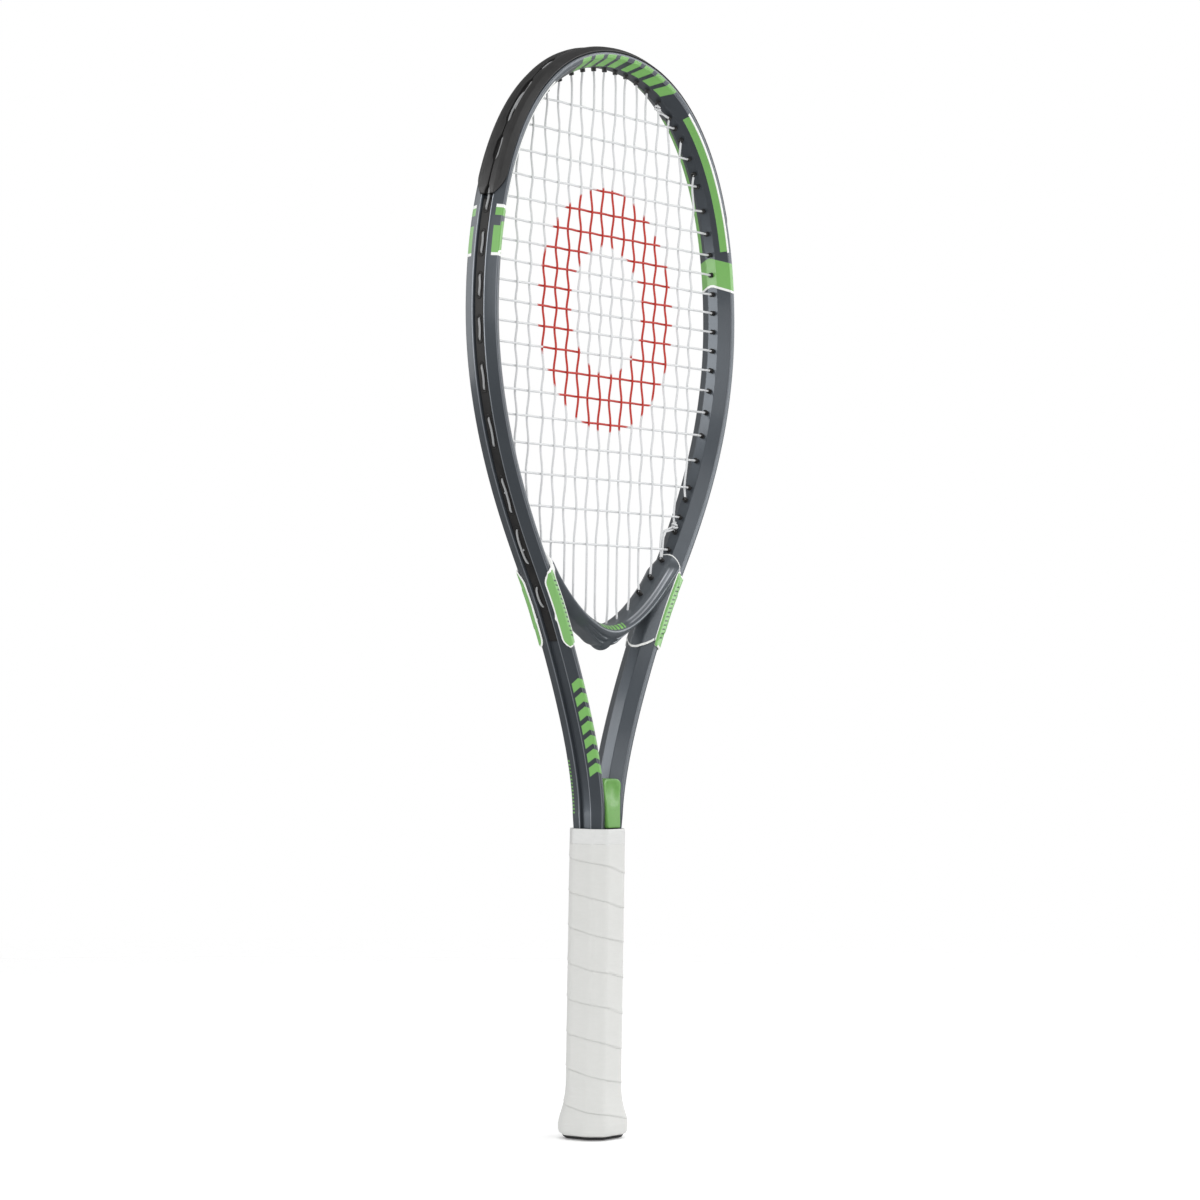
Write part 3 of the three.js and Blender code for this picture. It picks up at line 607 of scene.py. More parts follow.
class Anchor:
    """Where a string leaves the bed on the right half: the mouth that it enters, and its exit behind."""

    def __init__(self, arc=None, depth=None, x=None):
        self.arc, self.depth = arc, depth
        if arc is None:
            top = np.interp(x, bridge_face.point[::-1, 0], bridge_face.point[::-1, 1])
            self.mouth, self.exit = np.array([x, top]), np.array([x, top - GROOVE_DEPTH])
        else:
            self.mouth = half_line.place(arc, -depth)
            self.exit = half_line.place(arc, CHANNEL_STRING)


def main_foot(number):
    if number < min(SADDLE_MOUTH_DEPTHS):
        return Anchor(x=main_x(number))
    depth = SADDLE_MOUTH_DEPTHS.get(number, MOUTH_DEPTH)
    return Anchor(half_line.find(depth, 0, main_foot_x(number), from_end=True), depth)


main_tops = {n: Anchor(half_line.find(MOUTH_DEPTH, 0, main_x(n)), MOUTH_DEPTH) for n in main_numbers}
main_feet = {n: main_foot(n) for n in main_numbers}
upper_half = half_line.part(half_line.point[:, 1] > 340)
cross_ends = {n: Anchor(upper_half.find(MOUTH_DEPTH, 1, cross_z(n)), MOUTH_DEPTH) for n in cross_numbers}


# ---- Grommet strips and bumper guard ----


def nylon_finish(name, shine):
    scuffs = (6, 4, (1, 1, 0.4))
    return plain_finish(name, NYLON_BLACKS, scuffs, (0.2, 0.34), (0.5, 2), 0.08, Specular_IOR_Level=shine)


def barrel_rings(side, anchor, flange):
    """A grommet's barrel as rings about its own axis, with a rim at its mouth and a flange in the channel."""
    outer, hole = BARREL_RADIUS, BARREL_HOLE_RADIUS
    mouth = -anchor.depth - BARREL_PROUD
    profile = [
        (hole, mouth + 0.25), (hole + 0.25, mouth), (outer - 0.35, mouth), (outer - 0.08, mouth + 0.2),
        (outer, mouth + 0.6), (outer, STRIP_FACE - 0.6), (flange, STRIP_FACE - 0.4),
        (flange, STRIP_FACE + 0.15), (flange - 0.4, STRIP_FACE + 0.35), (hole + 0.2, STRIP_FACE + 0.35),
        (hole, STRIP_FACE + 0.1),
    ]
    start = half_line.place(anchor.arc, 0)
    outward = half_line.outward[np.argmin(np.abs(half_line.arc - anchor.arc))]
    turn = full_turn(14)
    radius, u = np.array(profile).T
    across = np.outer(np.cos(turn), radius)
    x = side * (start[0] + outward[0] * u - outward[1] * across)
    z = start[1] + outward[1] * u + outward[0] * across
    return np.stack([x, np.outer(np.sin(turn), radius), z], axis=-1)


def guard_section(reach, slot):
    """The guard's outline where its lips reach a share of the way down the bevels, with half its slot."""
    bevel_slope = (CHANNEL_EDGE[0] - OUTER_CREASE[0]) / (OUTER_CREASE[1] - CHANNEL_EDGE[1])
    lip_w = 4.3 + 6.2 * reach
    lip_u = CHANNEL_EDGE[0] + 0.2 - (lip_w - CHANNEL_EDGE[1]) * bevel_slope
    crown = GUARD_END_HEIGHT + (GUARD_HEIGHT - GUARD_END_HEIGHT) * min(1, 2 * reach)
    half = [
        (STRIP_FLOOR, 2.9), (5.5, 3.5), (5.7, 4.1), (lip_u, lip_w), (lip_u + 0.8, lip_w + 0.5),
        (crown - 0.5, 4.6 + 2.6 * reach), (crown, 4.4), (crown - 0.2, slot), (STRIP_FACE, slot),
    ]
    return rounded_halves(half, (0.2, 0.2, 0.2, 0.2, 0.4, 3, 2, 0.5, 0.2), 3, 2)


def loop_pairs():
    """The arcs, below zero on the left, of the two anchors that each loop of string in the channel joins."""
    pairs = []
    for ends, first in ((main_tops, 1), (main_feet, 2)):
        for n in range(first, MAINS_PER_SIDE, 2):
            if ends[n].arc and ends[n + 1].arc:
                pairs += [(side, ends[n], ends[n + 1]) for side in (-1, 1)]
    pairs += [(-1 if n % 2 == 0 else 1, cross_ends[n], cross_ends[n + 1]) for n in range(CROSSES - 1)]
    return [sorted((side * a.arc, side * b.arc)) for side, a, b in pairs]


def slot_half_widths(arcs):
    """Half the guard's slot, which opens wherever a loop of string lies in it."""
    closed, opened = SLOT_HALF_WIDTHS["closed"], SLOT_HALF_WIDTHS["open"]
    width = np.full(len(arcs), closed)
    for low, high in loop_pairs():
        opening = smooth_step(arcs, low - 1, low + 4) * smooth_step(-arcs, -high - 1, -high + 4)
        width = np.maximum(width, closed + (opened - closed) * opening)
    return width


def build_guard():
    line = whole_line.part(whole_line.point[:, 1] > GUARD_END_Z)
    to_end = np.minimum(line.arc - line.arc[0], line.arc[-1] - line.arc)
    reach = 1 - (1 - np.clip(to_end / GUARD_TAPER, 0, 1)) ** 2
    sections = np.array([guard_section(*each) for each in zip(reach, slot_half_widths(line.arc))])
    ends = [*main_tops.values(), *[end for end in cross_ends.values() if end.mouth[1] > GUARD_END_Z]]
    barrels = [(barrel_rings(side, end, FLANGE_RADII["guard"]), True) for side in (-1, 1) for end in ends]
    mesh = tubes_mesh("bumper_guard_skin", (swept(sections, line), False), *barrels)
    add_piece(mesh, nylon_finish("guard_nylon", 0.5), "grommet_nylon", "bumper_guard")


def build_strips():
    nylon = nylon_finish("strip_nylon", 0.2)
    outline = rounded_halves([(STRIP_FLOOR, 2.95), (STRIP_FACE, 3.15)], (0.1, 0.25))
    inside = (whole_line.point[:, 1] > STRIP_END_Z) & (whole_line.point[:, 1] <= GUARD_END_Z)
    ends = [end for end in cross_ends.values() if end.mouth[1] <= GUARD_END_Z]
    ends += [foot for foot in main_feet.values() if foot.arc]
    for name, side in (("left", -1), ("right", 1)):
        strip = swept(outline, whole_line.part(inside & (np.sign(whole_line.arc) == side)))
        barrels = [(barrel_rings(side, end, FLANGE_RADII["strip"]), True) for end in ends]
        mesh = tubes_mesh("grommet_strip_skin_" + name, (strip, False), *barrels)
        add_piece(mesh, nylon, "grommet_nylon", "grommet_strip_" + name)


# ---- Strings ----

BED_STEP = 1.6


def in_bed(side, point, y):
    return np.column_stack([side * point[:, 0], y, point[:, 1]])


def fade_at_ends(points):
    """1 along a run of points, easing to 0 at both ends, so that a string leaves its mouth straight."""
    reached = lengths_along(points)
    return smooth_step(np.minimum(reached, reached[-1] - reached), 0, 9)


def straight(start, end):
    count = max(2, math.ceil(np.hypot(*(end - start)) / BED_STEP) + 1)
    return start + np.linspace(0, 1, count)[:, None] * (end - start)


def strand(side, before, bed, y, after):
    """A string's way through one grommet, over and under in the bed, and through the next grommet."""
    y = np.r_[np.zeros(len(before)), y * fade_at_ends(bed), np.zeros(len(after))]
    return in_bed(side, np.vstack([before, bed, after]), y)


cross_heights = np.array([cross_z(n) for n in cross_numbers])


def main_run(side, number):
    """One main from its foot's exit up to its top's exit."""
    foot, top = main_feet[number], main_tops[number]
    bed = straight(foot.mouth, top.mouth)
    order = number if side > 0 else 1 - number
    nearest = np.interp(-bed[:, 1], -cross_heights, cross_numbers)
    y = WEAVE * np.cos(math.pi * (order + nearest))
    return strand(side, straight(foot.exit, foot.mouth)[:-1], bed, y, straight(top.mouth, top.exit)[1:])


def main_x_at(number, z):
    foot, top = main_feet[number].mouth, main_tops[number].mouth
    return np.interp(z, [foot[1], top[1]], [foot[0], top[0]])


def cross_run(number):
    """One cross from its exit on the left to its exit on the right."""
    end, z = cross_ends[number], cross_z(number)
    mains = []
    for n in main_numbers:
        if main_feet[n].mouth[1] < z < main_tops[n].mouth[1]:
            x = main_x_at(n, z)
            mains += [(x, n), (-x, 1 - n)]
    places, orders = np.array(sorted(mains)).T
    bed = straight(end.mouth * MIRROR, end.mouth)
    y = -WEAVE * np.cos(math.pi * (np.interp(bed[:, 0], places, orders) + number))
    outside = straight(end.mouth, end.exit)[1:]
    return strand(1, outside[::-1] * MIRROR, bed, y, outside)


def loop(side, start, end, sidestep):
    """The string's way in the channel from one anchor's exit to the next."""
    if start.arc is None or end.arc is None:
        return np.empty((0, 3))
    arcs = np.linspace(start.arc, end.arc, max(4, math.ceil(abs(end.arc - start.arc) / BED_STEP)))[1:-1]
    points = np.array([half_line.place(arc, CHANNEL_STRING) for arc in arcs])
    share = np.linspace(0, 1, len(arcs) + 2)[1:-1]
    y = sidestep * smooth_step(np.minimum(share, 1 - share), 0, 0.3)
    return in_bed(side, points, y)


def relaxed(path, passes=3):
    """A path with its bends eased."""
    for _ in range(passes):
        path = np.vstack([path[:1], (path[:-2] + 2 * path[1:-1] + path[2:]) / 4, path[-1:]])
    return path


def main_route():
    order = [(-1, n) for n in reversed(main_numbers)] + [(1, n) for n in main_numbers]
    route = []
    for i, (side, number) in enumerate(order):
        run = main_run(side, number)
        route.append(run if i % 2 == 0 else run[::-1])
        if i + 1 < len(order):
            ends = main_feet if i % 2 else main_tops
            route.append(loop(side, ends[number], ends[order[i + 1][1]], LOOP_SIDESTEP))
    return relaxed(np.vstack(route))


def cross_route():
    route = []
    for number in cross_numbers:
        side = -1 if number % 2 == 0 else 1  # where this cross ends
        run = cross_run(number)
        route.append(run if side > 0 else run[::-1])
        if number + 1 < CROSSES:
            route.append(loop(side, cross_ends[number], cross_ends[number + 1], -LOOP_SIDESTEP))
    return relaxed(np.vstack(route))


def cord_rings(path, radius, sides=10):
    """Rings round a path, turned as little as possible from one to the next."""
    along = np.gradient(path, axis=0)
    along /= np.linalg.norm(along, axis=1)[:, None]
    turn = full_turn(sides)[:, None]
    across = Vector(along[0]).orthogonal().normalized()
    rings = []
    for point, direction in zip(path, along):
        direction = Vector(direction)
        across = (across - direction * across.dot(direction)).normalized()
        other = direction.cross(across)
        rings.append(point + radius * (np.cos(turn) * np.array(across) + np.sin(turn) * np.array(other)))
    return np.array(rings)


def knot_paths(number, z, *tail_stops):
    """A tie-off knot: turns of string round a main, and the two strands that run from it into a grommet."""
    turn = np.linspace(0, 4.2 * math.pi, 40)
    wobble = 0.4 * np.sin(2.3 * turn)
    radius = KNOT_RADIUS + 0.3 * np.cos(1.7 * turn)
    x = main_x_at(number, z) + radius * np.cos(turn)
    coil = np.column_stack([x, radius * np.sin(turn), z - 0.3 * turn + 2 + wobble])
    paths = []
    for start, y in ((coil[-1], -0.9), (coil[len(coil) // 2], 1.1)):
        stops = [start[[0, 2]], *map(np.array, tail_stops)]
        tail = np.vstack([straight(here, there)[1:] for here, there in zip(stops, stops[1:])])
        spread = np.interp(np.linspace(0, 1, len(tail)), [0, 0.4, 1], [start[1], y, 0.4 * y])
        paths.append(np.column_stack([tail[:, 0], spread, tail[:, 1]]))
    return [relaxed(np.vstack([coil, paths[0]]), 2), relaxed(paths[1], 2)]


def string_finish():
    """White monofilament with a red ring stencilled on the bed, and painted shade darkening it in the
    channel.
    """
    finish = Finish("string_white", IOR=1.4)
    x, _, z = finish.parts(finish.millimetres())
    up = z - RING_MIDDLE_Z
    ragged = finish.noise(3, 2) * 3 - 1.5
    ring = ((x * x + up * up).root() + ragged).between(*RING_RADII, 1.5)
    wear = finish.noise(1.5, 3) * 0.2 + 0.92
    in_channel, _, _ = finish.attribute("in_channel")
    colour = finish.mixed(finish.noise(20, 2), *STRING_WHITES)
    # Painted shade where the string lies in the channel
    colour = finish.mixed(in_channel * 0.85, colour, STRING_CHANNEL_SHADE)
    colour = finish.mixed(ring * wear.least(1), colour, RED)
    return finish.surface(colour, finish.noise(4, 2) * 0.15 + 0.35, finish.noise(0.4, 2), 0.03)


def mark_channel(mesh):
    x, _, z = np.array([vertex.co for vertex in mesh.vertices]).T / MM
    _, outward = nearest_on(half_line, np.abs(x), z)
    add_attribute(mesh, "in_channel", smooth_step(outward, 2, 3.6))


def build_strings():
    finish = string_finish()
    mains = [cord_rings(main_route(), STRING_RADIUS)]
    crosses = [cord_rings(cross_route(), STRING_RADIUS)]
    foot_6, foot_7 = main_feet[6].mouth, main_feet[7].mouth
    top_knot = knot_paths(5, TOP_KNOT_Z, main_tops[6].mouth)
    foot_knot = knot_paths(7, foot_7[1] + 4, (foot_6[0] + 1.5, foot_7[1] - 1), foot_6)
    for name, cords, knot in (("main_string", mains, foot_knot), ("cross_string", crosses, top_knot)):
        cords += [cord_rings(path, KNOT_STRING_RADIUS, 8) for path in knot]
        mesh = tubes_mesh(name + "_woven", *[(rings, False) for rings in cords])
        mark_channel(mesh)
        add_piece(mesh, finish, "string", name)


# ---- Solids from distance fields ----


def smooth_most(a, b, blend):
    """The larger of two fields, with the crease between them rounded over a width."""
    h = np.clip(0.5 + 0.5 * (a - b) / blend, 0, 1)
    return b + (a - b) * h + blend * h * (1 - h)


def smooth_least(a, b, blend):
    return -smooth_most(-a, -b, blend)


def sides(corners):
    """The start, direction and length of each side of an open outline."""
    for (u0, w0), (u1, w1) in zip(corners, corners[1:]):
        length = math.hypot(u1 - u0, w1 - w0)
        yield u0, w0, (u1 - u0) / length, (w1 - w0) / length, length


def half_planes(u, w, corners, blend):
    """The distance outside a convex outline given by corners from the outside in, on its front half."""
    distances = [dw * (u - u0) - du * (w - w0) for u0, w0, du, dw, _ in sides(corners)]
    return reduce(lambda one, other: smooth_most(one, other, blend), distances)


def ellipsoid(x, w, z, radii, slope):
    """A field that is zero on an ellipsoid about the origin, and rises by a slope over its radii."""
    return (np.sqrt((x / radii[0]) ** 2 + (w / radii[1]) ** 2 + (z / radii[2]) ** 2) - 1) * slope


GRID_STEP = 0.5
CELL_CORNERS = list(itertools.product((0, 1), repeat=3))
CELL_EDGES = [pair for pair in itertools.combinations(CELL_CORNERS, 2) if math.dist(*pair) == 1]


def surface_of(field, low):
    """The zero surface of a field on a grid: a point in each cell that it crosses, and four-sided faces."""
    cells = tuple(n - 1 for n in field.shape)
    corner = {c: field[tuple(slice(o, o + n) for o, n in zip(c, cells))] for c in CELL_CORNERS}
    inside = sum((corner[c] < 0).astype(int) for c in CELL_CORNERS)
    active = (inside > 0) & (inside < 8)
    where = np.argwhere(active)
    total, crossed = np.zeros((len(where), 3)), np.zeros(len(where))
    for a, b in CELL_EDGES:
        fa, fb = corner[a][active], corner[b][active]
        cuts = (fa < 0) != (fb < 0)
        share = np.where(cuts, fa / np.where(cuts, fa - fb, 1), 0)
        place = np.array(a) + share[:, None] * (np.array(b) - np.array(a))
        total += place * cuts[:, None]
        crossed += cuts
    points = np.array(low) + (where + total / crossed[:, None]) * GRID_STEP
    number = np.full(cells, -1)
    number[active] = np.arange(len(where))
    faces = []
    for axis in range(3):
        others = [o for o in range(3) if o != axis]
        here, there = np.moveaxis(field, axis, 0)[:-1], np.moveaxis(field, axis, 0)[1:]
        cuts = np.moveaxis((here < 0) != (there < 0), 0, axis)
        for at in np.argwhere(cuts):
            quad = []
            for back in ((1, 1), (0, 1), (0, 0), (1, 0)):
                cell = at.copy()
                cell[others] -= back
                quad.append(int(number[tuple(cell)]))
            faces.append(tuple(quad))
    return points, faces


def moulded_mesh(name, field, *spans):
    """The surface of a field that repeats on all four quarters, and its points, over spans of x, w and z."""
    x, w, z = (np.arange(*span, GRID_STEP) for span in spans)
    quarter = field(*np.meshgrid(x, w, z, indexing="ij"))
    half = np.concatenate([quarter[:0:-1], quarter], axis=0)
    whole = np.concatenate([half[:, :0:-1], half], axis=1)
    points, faces = surface_of(whole, (-x[-1], -w[-1], z[0]))
    return to_mesh(name, points, faces), points


def ease(piece, passes):
    """Takes the grid's steps out of a moulded piece."""
    modifier = piece.modifiers.new("eased", "SMOOTH")
    modifier.factor, modifier.iterations = 0.5, passes


def nearest_on(line, x, z):
    """For each x and z, the z of the nearest place on a line, and how far outward of it the point is."""
    flat = np.column_stack([x.ravel(), z.ravel()])
    blocks = np.array_split(flat, 40)
    best = np.concatenate([((block[:, None] - line.point) ** 2).sum(-1).argmin(axis=1) for block in blocks])
    offset, outward = flat - line.point[best], line.outward[best]
    along = offset[:, 0] * outward[:, 1] - offset[:, 1] * outward[:, 0]
    nearest_z = line.point[best, 1] - along * outward[:, 0]
    return nearest_z.reshape(x.shape), (offset * outward).sum(-1).reshape(x.shape)


# ---- Throat bridge ----

BEHIND = -20  # a w that is well behind the part, where the ends of a half outline run to
TUBE_CORNERS = [(CHANNEL_EDGE[0], BEHIND), *TUBE_HALF[1:], (INNER_FLAT[0], BEHIND)]
ARM_CORNERS = [
    (BRIDGE_DEPTH, BEHIND), (BRIDGE_DEPTH, 4), (7.6, 11), (5, 11.6), (1.6, 8.2), (0, 3.8), (0, BEHIND),
]
ARM_TAPER = 0.9
RIDGE_DEPTHS = (1.5, 3.0)
KNOB_Z = 316.5
KNOB_RADII = (6, 6, 5)
SADDLE_SKIN = 1.3
SADDLE_TOP_Z = 372.6
SADDLE_LOW_Z = 310.9
SADDLE_ARCH = 12
SADDLE_BOW = 7.5
SADDLE_GIRTH = 13
PAD_SKIN = 1.1
PAD_GIRTHS = (12, 21.6)
PAD_HEIGHTS = (314.6, 362.2)
OUTLINE_WIDTH = 1.3
CLEARANCE = 0.15  # between the tube and a moulded piece
throat_line = half_line.part((half_line.point[:, 1] > 270) & (half_line.point[:, 1] < 420))


def girth_at(u, w):
    """How far round the tube's section its point nearest to (u, w) is, from the middle of the inner side."""
    nearest, girth, reached = np.inf, 0, 0
    for u0, w0, du, dw, length in sides([(INNER_FLAT[0], 0), *TUBE_HALF[:0:-1]]):
        along = np.clip((u - u0) * du + (w - w0) * dw, 0, length)
        away = np.hypot(u - u0 - along * du, w - w0 - along * dw)
        girth = np.where(away < nearest, reached + along, girth)
        nearest = np.minimum(away, nearest)
        reached += length
    return girth


def pad_limit(girth, z):
    """How far outside the pad a place round the tube is. The pad's outer corners are the rounder ones."""
    middle_girth, middle_z = sum(PAD_GIRTHS) / 2, sum(PAD_HEIGHTS) / 2
    half_girth, half_z = PAD_GIRTHS[1] - middle_girth, PAD_HEIGHTS[1] - middle_z
    radius = 1 + 6.5 * smooth_step(girth, middle_girth - 2, middle_girth + 2)
    across = np.abs(girth - middle_girth) - half_girth + radius
    up = np.abs(z - middle_z) - half_z + radius * np.where(z > middle_z, 1.2, 0.8)
    beyond = np.hypot(np.maximum(across, 0), np.maximum(up, 0))
    return beyond + np.minimum(np.maximum(across, up), 0) - radius


def saddle_limit(girth, w, z):
    """How far a place round the tube is above the saddle's oval top and below its bowed lower end."""
    past_crease = np.maximum(girth - SADDLE_GIRTH, 0)
    fall = 1 - np.sqrt(1 - np.clip(girth / SADDLE_GIRTH, 0, 1) ** 2)
    top = SADDLE_TOP_Z - SADDLE_ARCH * fall - 3 * past_crease
    rise = (np.minimum(w, INNER_CREASE[1]) / INNER_CREASE[1]) ** 2
    return z - top, SADDLE_LOW_Z + SADDLE_BOW * rise + 2 * past_crease - z


def bridge_fields(x, w, z):
    """The bridge's field at points on the front right quarter, and the fields that its finish reads."""
    flat_x, flat_z = x[:, 0, :], z[:, 0, :]
    tube_z, tube_u = (each[:, None, :] for each in nearest_on(throat_line, flat_x, flat_z))
    depth = nearest_on(bridge_face, flat_x, flat_z)[1][:, None, :]
    tube = half_planes(tube_u, w, TUBE_CORNERS, 0.8)
    girth = girth_at(tube_u, w)
    pad_edge = pad_limit(girth, tube_z)
    above_saddle, below_saddle = saddle_limit(girth, w, tube_z)
    saddle = smooth_most(tube - SADDLE_SKIN, below_saddle, 0.8)
    pad = smooth_most(tube - PAD_SKIN, pad_edge, 1.0)
    tapered = depth + ARM_TAPER * np.maximum(depth - 5, 0) * smooth_step(x, 7, 28)
    steps = 0.6 * np.sin(tapered * 2.3) * smooth_step(tapered, 7.4, 8.6) * smooth_step(-x, -30, -20)
    groove = 0.35 * np.exp(-(((depth - sum(RIDGE_DEPTHS) / 2) / 0.4) ** 2)) * smooth_step(x, 16, 24)
    arm = half_planes(tapered, w, ARM_CORNERS, 0.6) + steps * smooth_step(x, 3, 7) + groove
    knob = ellipsoid(x, w, z - KNOB_Z, KNOB_RADII, 5.5)
    arm = smooth_most(smooth_least(arm, knob, 2), tube_u + 1, 0.5)
    ramp = tube - SADDLE_SKIN - 0.03 * np.maximum(SADDLE_TOP_Z - tube_z, 0) ** 2
    body = smooth_most(smooth_least(arm, saddle, 5.5), smooth_most(above_saddle, ramp, 1.5), 1)
    bridge = np.maximum(smooth_least(body, pad, 0.5), CLEARANCE - tube)
    return bridge, tube, pad_edge, above_saddle, depth, girth, below_saddle


def bridge_finish():
    """Slate like the frame's, with white edges round its saddles and pads, green pads and painted highlights
    on the arm's ridge lines.
    """
    finish = Finish("bridge_plastic", Coat_Weight=0.3, Coat_Roughness=0.12, Specular_IOR_Level=0.6)
    from_tube, pad_edge, above_saddle = finish.attribute("limits")
    depth, girth, below_saddle = finish.attribute("arm")
    x, y, height = finish.attribute("place")
    near = from_tube.above(SADDLE_SKIN + 1.6, 0.3).inverse()
    thinner = x.above(0) * y.above(0).inverse() * girth.above(14).inverse()
    in_pad = pad_edge.above(thinner * 1.1 - OUTLINE_WIDTH).inverse()
    pad_line = in_pad.inverse() * near * pad_edge.above(0.35).inverse()
    pad = in_pad * near
    top_line = above_saddle.above(-OUTLINE_WIDTH) * height.above(350) * girth.above(13.3).inverse()
    low_line = below_saddle.above(-OUTLINE_WIDTH) * near * depth.above(15.5)
    low_line = low_line * y.size().above(10.6).inverse()
    line = top_line.most(low_line) * pad_edge.above(0)
    lines = line.most(pad_line)
    ticks = height.every(2.8, 0.3, 0.68, 0.1) * height.between(320, 356) * girth.between(13.6, 16)
    dashes = x.every(4, 0.15, 0.8, 0.05) * x.size().above(14).inverse() * depth.between(1.0, 3.8)
    # Painted highlights: two light lines along the arm's ridge lines, and a faint painted sheen between them
    ridge_highlights = [depth.between(at - 0.3, at + 0.3, 0.15) for at in RIDGE_DEPTHS]
    ridge_highlights = ridge_highlights[0].most(ridge_highlights[1]).most(depth.between(*RIDGE_DEPTHS, 0.6) * 0.3)
    ridge_highlights = ridge_highlights * x.size().above(20, 5) * height.above(365, 5).inverse()
    flakes = finish.noise(0.4, 1)
    colour = finish.mixed(flakes * 0.6 + finish.noise(15, 2) * 0.4, *BRIDGE_SLATES)
    layers = (
        (ridge_highlights, RIDGE_HIGHLIGHT), (dashes, DASH_GREEN), (pad, PAD_GREEN), (ticks * pad, TICK_GREEN),
        (lines, WHITE),
    )
    for mask, over in layers:
        colour = finish.mixed(mask, colour, over)
    finish.feed("Metallic", pad.most(lines).inverse() * 0.45)
    roughness = flakes * 0.08 + finish.noise(6, 3) * 0.08 + 0.26
    return finish.surface(colour, roughness, lines * 0.8 + finish.noise(0.9, 2) * 0.12, 0.08)


def build_bridge():
    reaches = (0, 88), (0, 15.5), (304, 380)
    mesh, points = moulded_mesh("throat_bridge_moulded", lambda *grid: bridge_fields(*grid)[0], *reaches)
    x, y, z = points.T
    _, *fields = bridge_fields(*(each[:, None, None] for each in (np.abs(x), np.abs(y), z)))
    add_attribute(mesh, "limits", *fields[:3])
    add_attribute(mesh, "arm", *fields[3:])
    add_attribute(mesh, "place", x, y, z)
    ease(add_piece(mesh, bridge_finish(), "bridge_plastic", "throat_bridge"), 2)


# ---- Throat wedge ----


def wedge_field(x, w, z):
    tube_u = nearest_on(half_line, x[:, 0, :], z[:, 0, :])[1][:, None, :]
    clear = CLEARANCE - half_planes(tube_u, w, TUBE_CORNERS, 0.4)
    low, high = WEDGE_HALF_DEPTHS["low"], WEDGE_HALF_DEPTHS["high"]
    half_depth = low + (z - WEDGE_LOW_Z) * (high - low) / (WEDGE_HIGH_Z - WEDGE_LOW_Z)
    block = smooth_most(smooth_most(z - WEDGE_HIGH_Z, tube_u + 2.2, 6.5), w - half_depth, 0.8)
    block = np.maximum(np.maximum(block, WEDGE_LOW_Z - z), clear)
    bowl = ellipsoid(x, w - half_depth - 1.5, z - BOWL_Z, BOWL_RADII, 4)
    return smooth_most(block, -bowl, 1.6)


def wedge_finish():
    finish = Finish("wedge_green", Coat_Weight=0.15, Coat_Roughness=0.15, Subsurface_Weight=0.1)
    finish.shader.inputs["Subsurface Radius"].default_value = (0.001, 0.002, 0.001)
    colour = finish.mixed(finish.noise(12, 2), *WEDGE_GREENS)
    return finish.surface(colour, finish.noise(3, 3) * 0.15 + 0.38, finish.noise(0.7, 2), 0.05)


def build_wedge():
    reaches = (0, 15), (0, 15), (WEDGE_LOW_Z - 2, WEDGE_HIGH_Z + 3)
    mesh, _ = moulded_mesh("throat_wedge_moulded", wedge_field, *reaches)
    ease(add_piece(mesh, wedge_finish(), "wedge_plastic", "throat_wedge"), 3)


# ---- Handle ----

OCTAGON_HALF = [
    (GRIP_HALF_X, -GRIP_FLAT_HALF_ON_X), (GRIP_HALF_X, GRIP_FLAT_HALF_ON_X),
    (GRIP_FLAT_HALF_ON_Y, GRIP_HALF_Y), (-GRIP_FLAT_HALF_ON_Y, GRIP_HALF_Y),
]
OCTAGON = [*OCTAGON_HALF, *[(-x, -y) for x, y in OCTAGON_HALF]]


def octagon_rings(profile, radius):
    """Rings of the handle's octagon with rounded edges, for (share of its size, z) pairs."""
    outline = rounded(OCTAGON, radius, 5, 5)
    return np.array([np.column_stack([outline * share, np.full(len(outline), z)]) for share, z in profile])


def grip_share(z):
    """The grip's size at a height, against the straight handle."""
    heights = [GRIP_LOW_Z, 3.6, 5, 7, 9, 12, 15, 19, 23, 28, 33, 188]
    shares = [1.15, 1.195, 1.228, 1.248, 1.25, 1.225, 1.18, 1.115, 1.06, 1.02, 1, 1]
    return np.interp(z, heights, shares)


def seam_profile(phase):
    """The height of wound tape across one turn: a proud rounded edge over a groove, then a slow fall."""
    share = phase % 1
    edge = 0.34 * np.exp(-share / 0.06) + 0.12 * (1 - share)
    groove = np.exp(-(((share - 0.985) / 0.012) ** 2))
    return edge - 0.35 * groove, groove


def build_grip():
    heights = np.r_[np.arange(GRIP_LOW_Z, FLARE_TOP_Z, 0.35), np.arange(FLARE_TOP_Z, BAND_LOW_Z + 1.5, 0.45)]
    rings = octagon_rings([(1.055 * share, z) for share, z in zip(grip_share(heights), heights)], 7)
    x, y, z = np.moveaxis(rings, -1, 0)
    outward = np.stack([x, y, np.zeros_like(z)], axis=-1) / np.hypot(x, y)[..., None]
    angle = np.arctan2(y, x) / (2 * math.pi)
    wander = 0.02 * np.sin(2 * math.pi * angle * 3 + z * 0.21)
    height, groove = seam_profile(z / WRAP_PITCH + angle + wander + 0.62)
    above_butt = smooth_step(z, 3, 8)
    inside = [(0.925, BAND_LOW_Z + 1), (0.925, 34), (0.94, 28.5), (1.11, 14), (1.15, 9), (1.12, 2)]
    wound = rings + outward * ((height - 0.45) * above_butt)[..., None]
    whole = np.vstack([wound, octagon_rings(inside, 4.2)])
    mesh = tubes_mesh("grip_wrap", (whole, True))
    seams = np.zeros(whole.shape[:2])
    seams[: len(groove)] = groove * above_butt
    add_attribute(mesh, "seams", seams)
    add_piece(mesh, grip_finish(), "grip", "grip_tape")


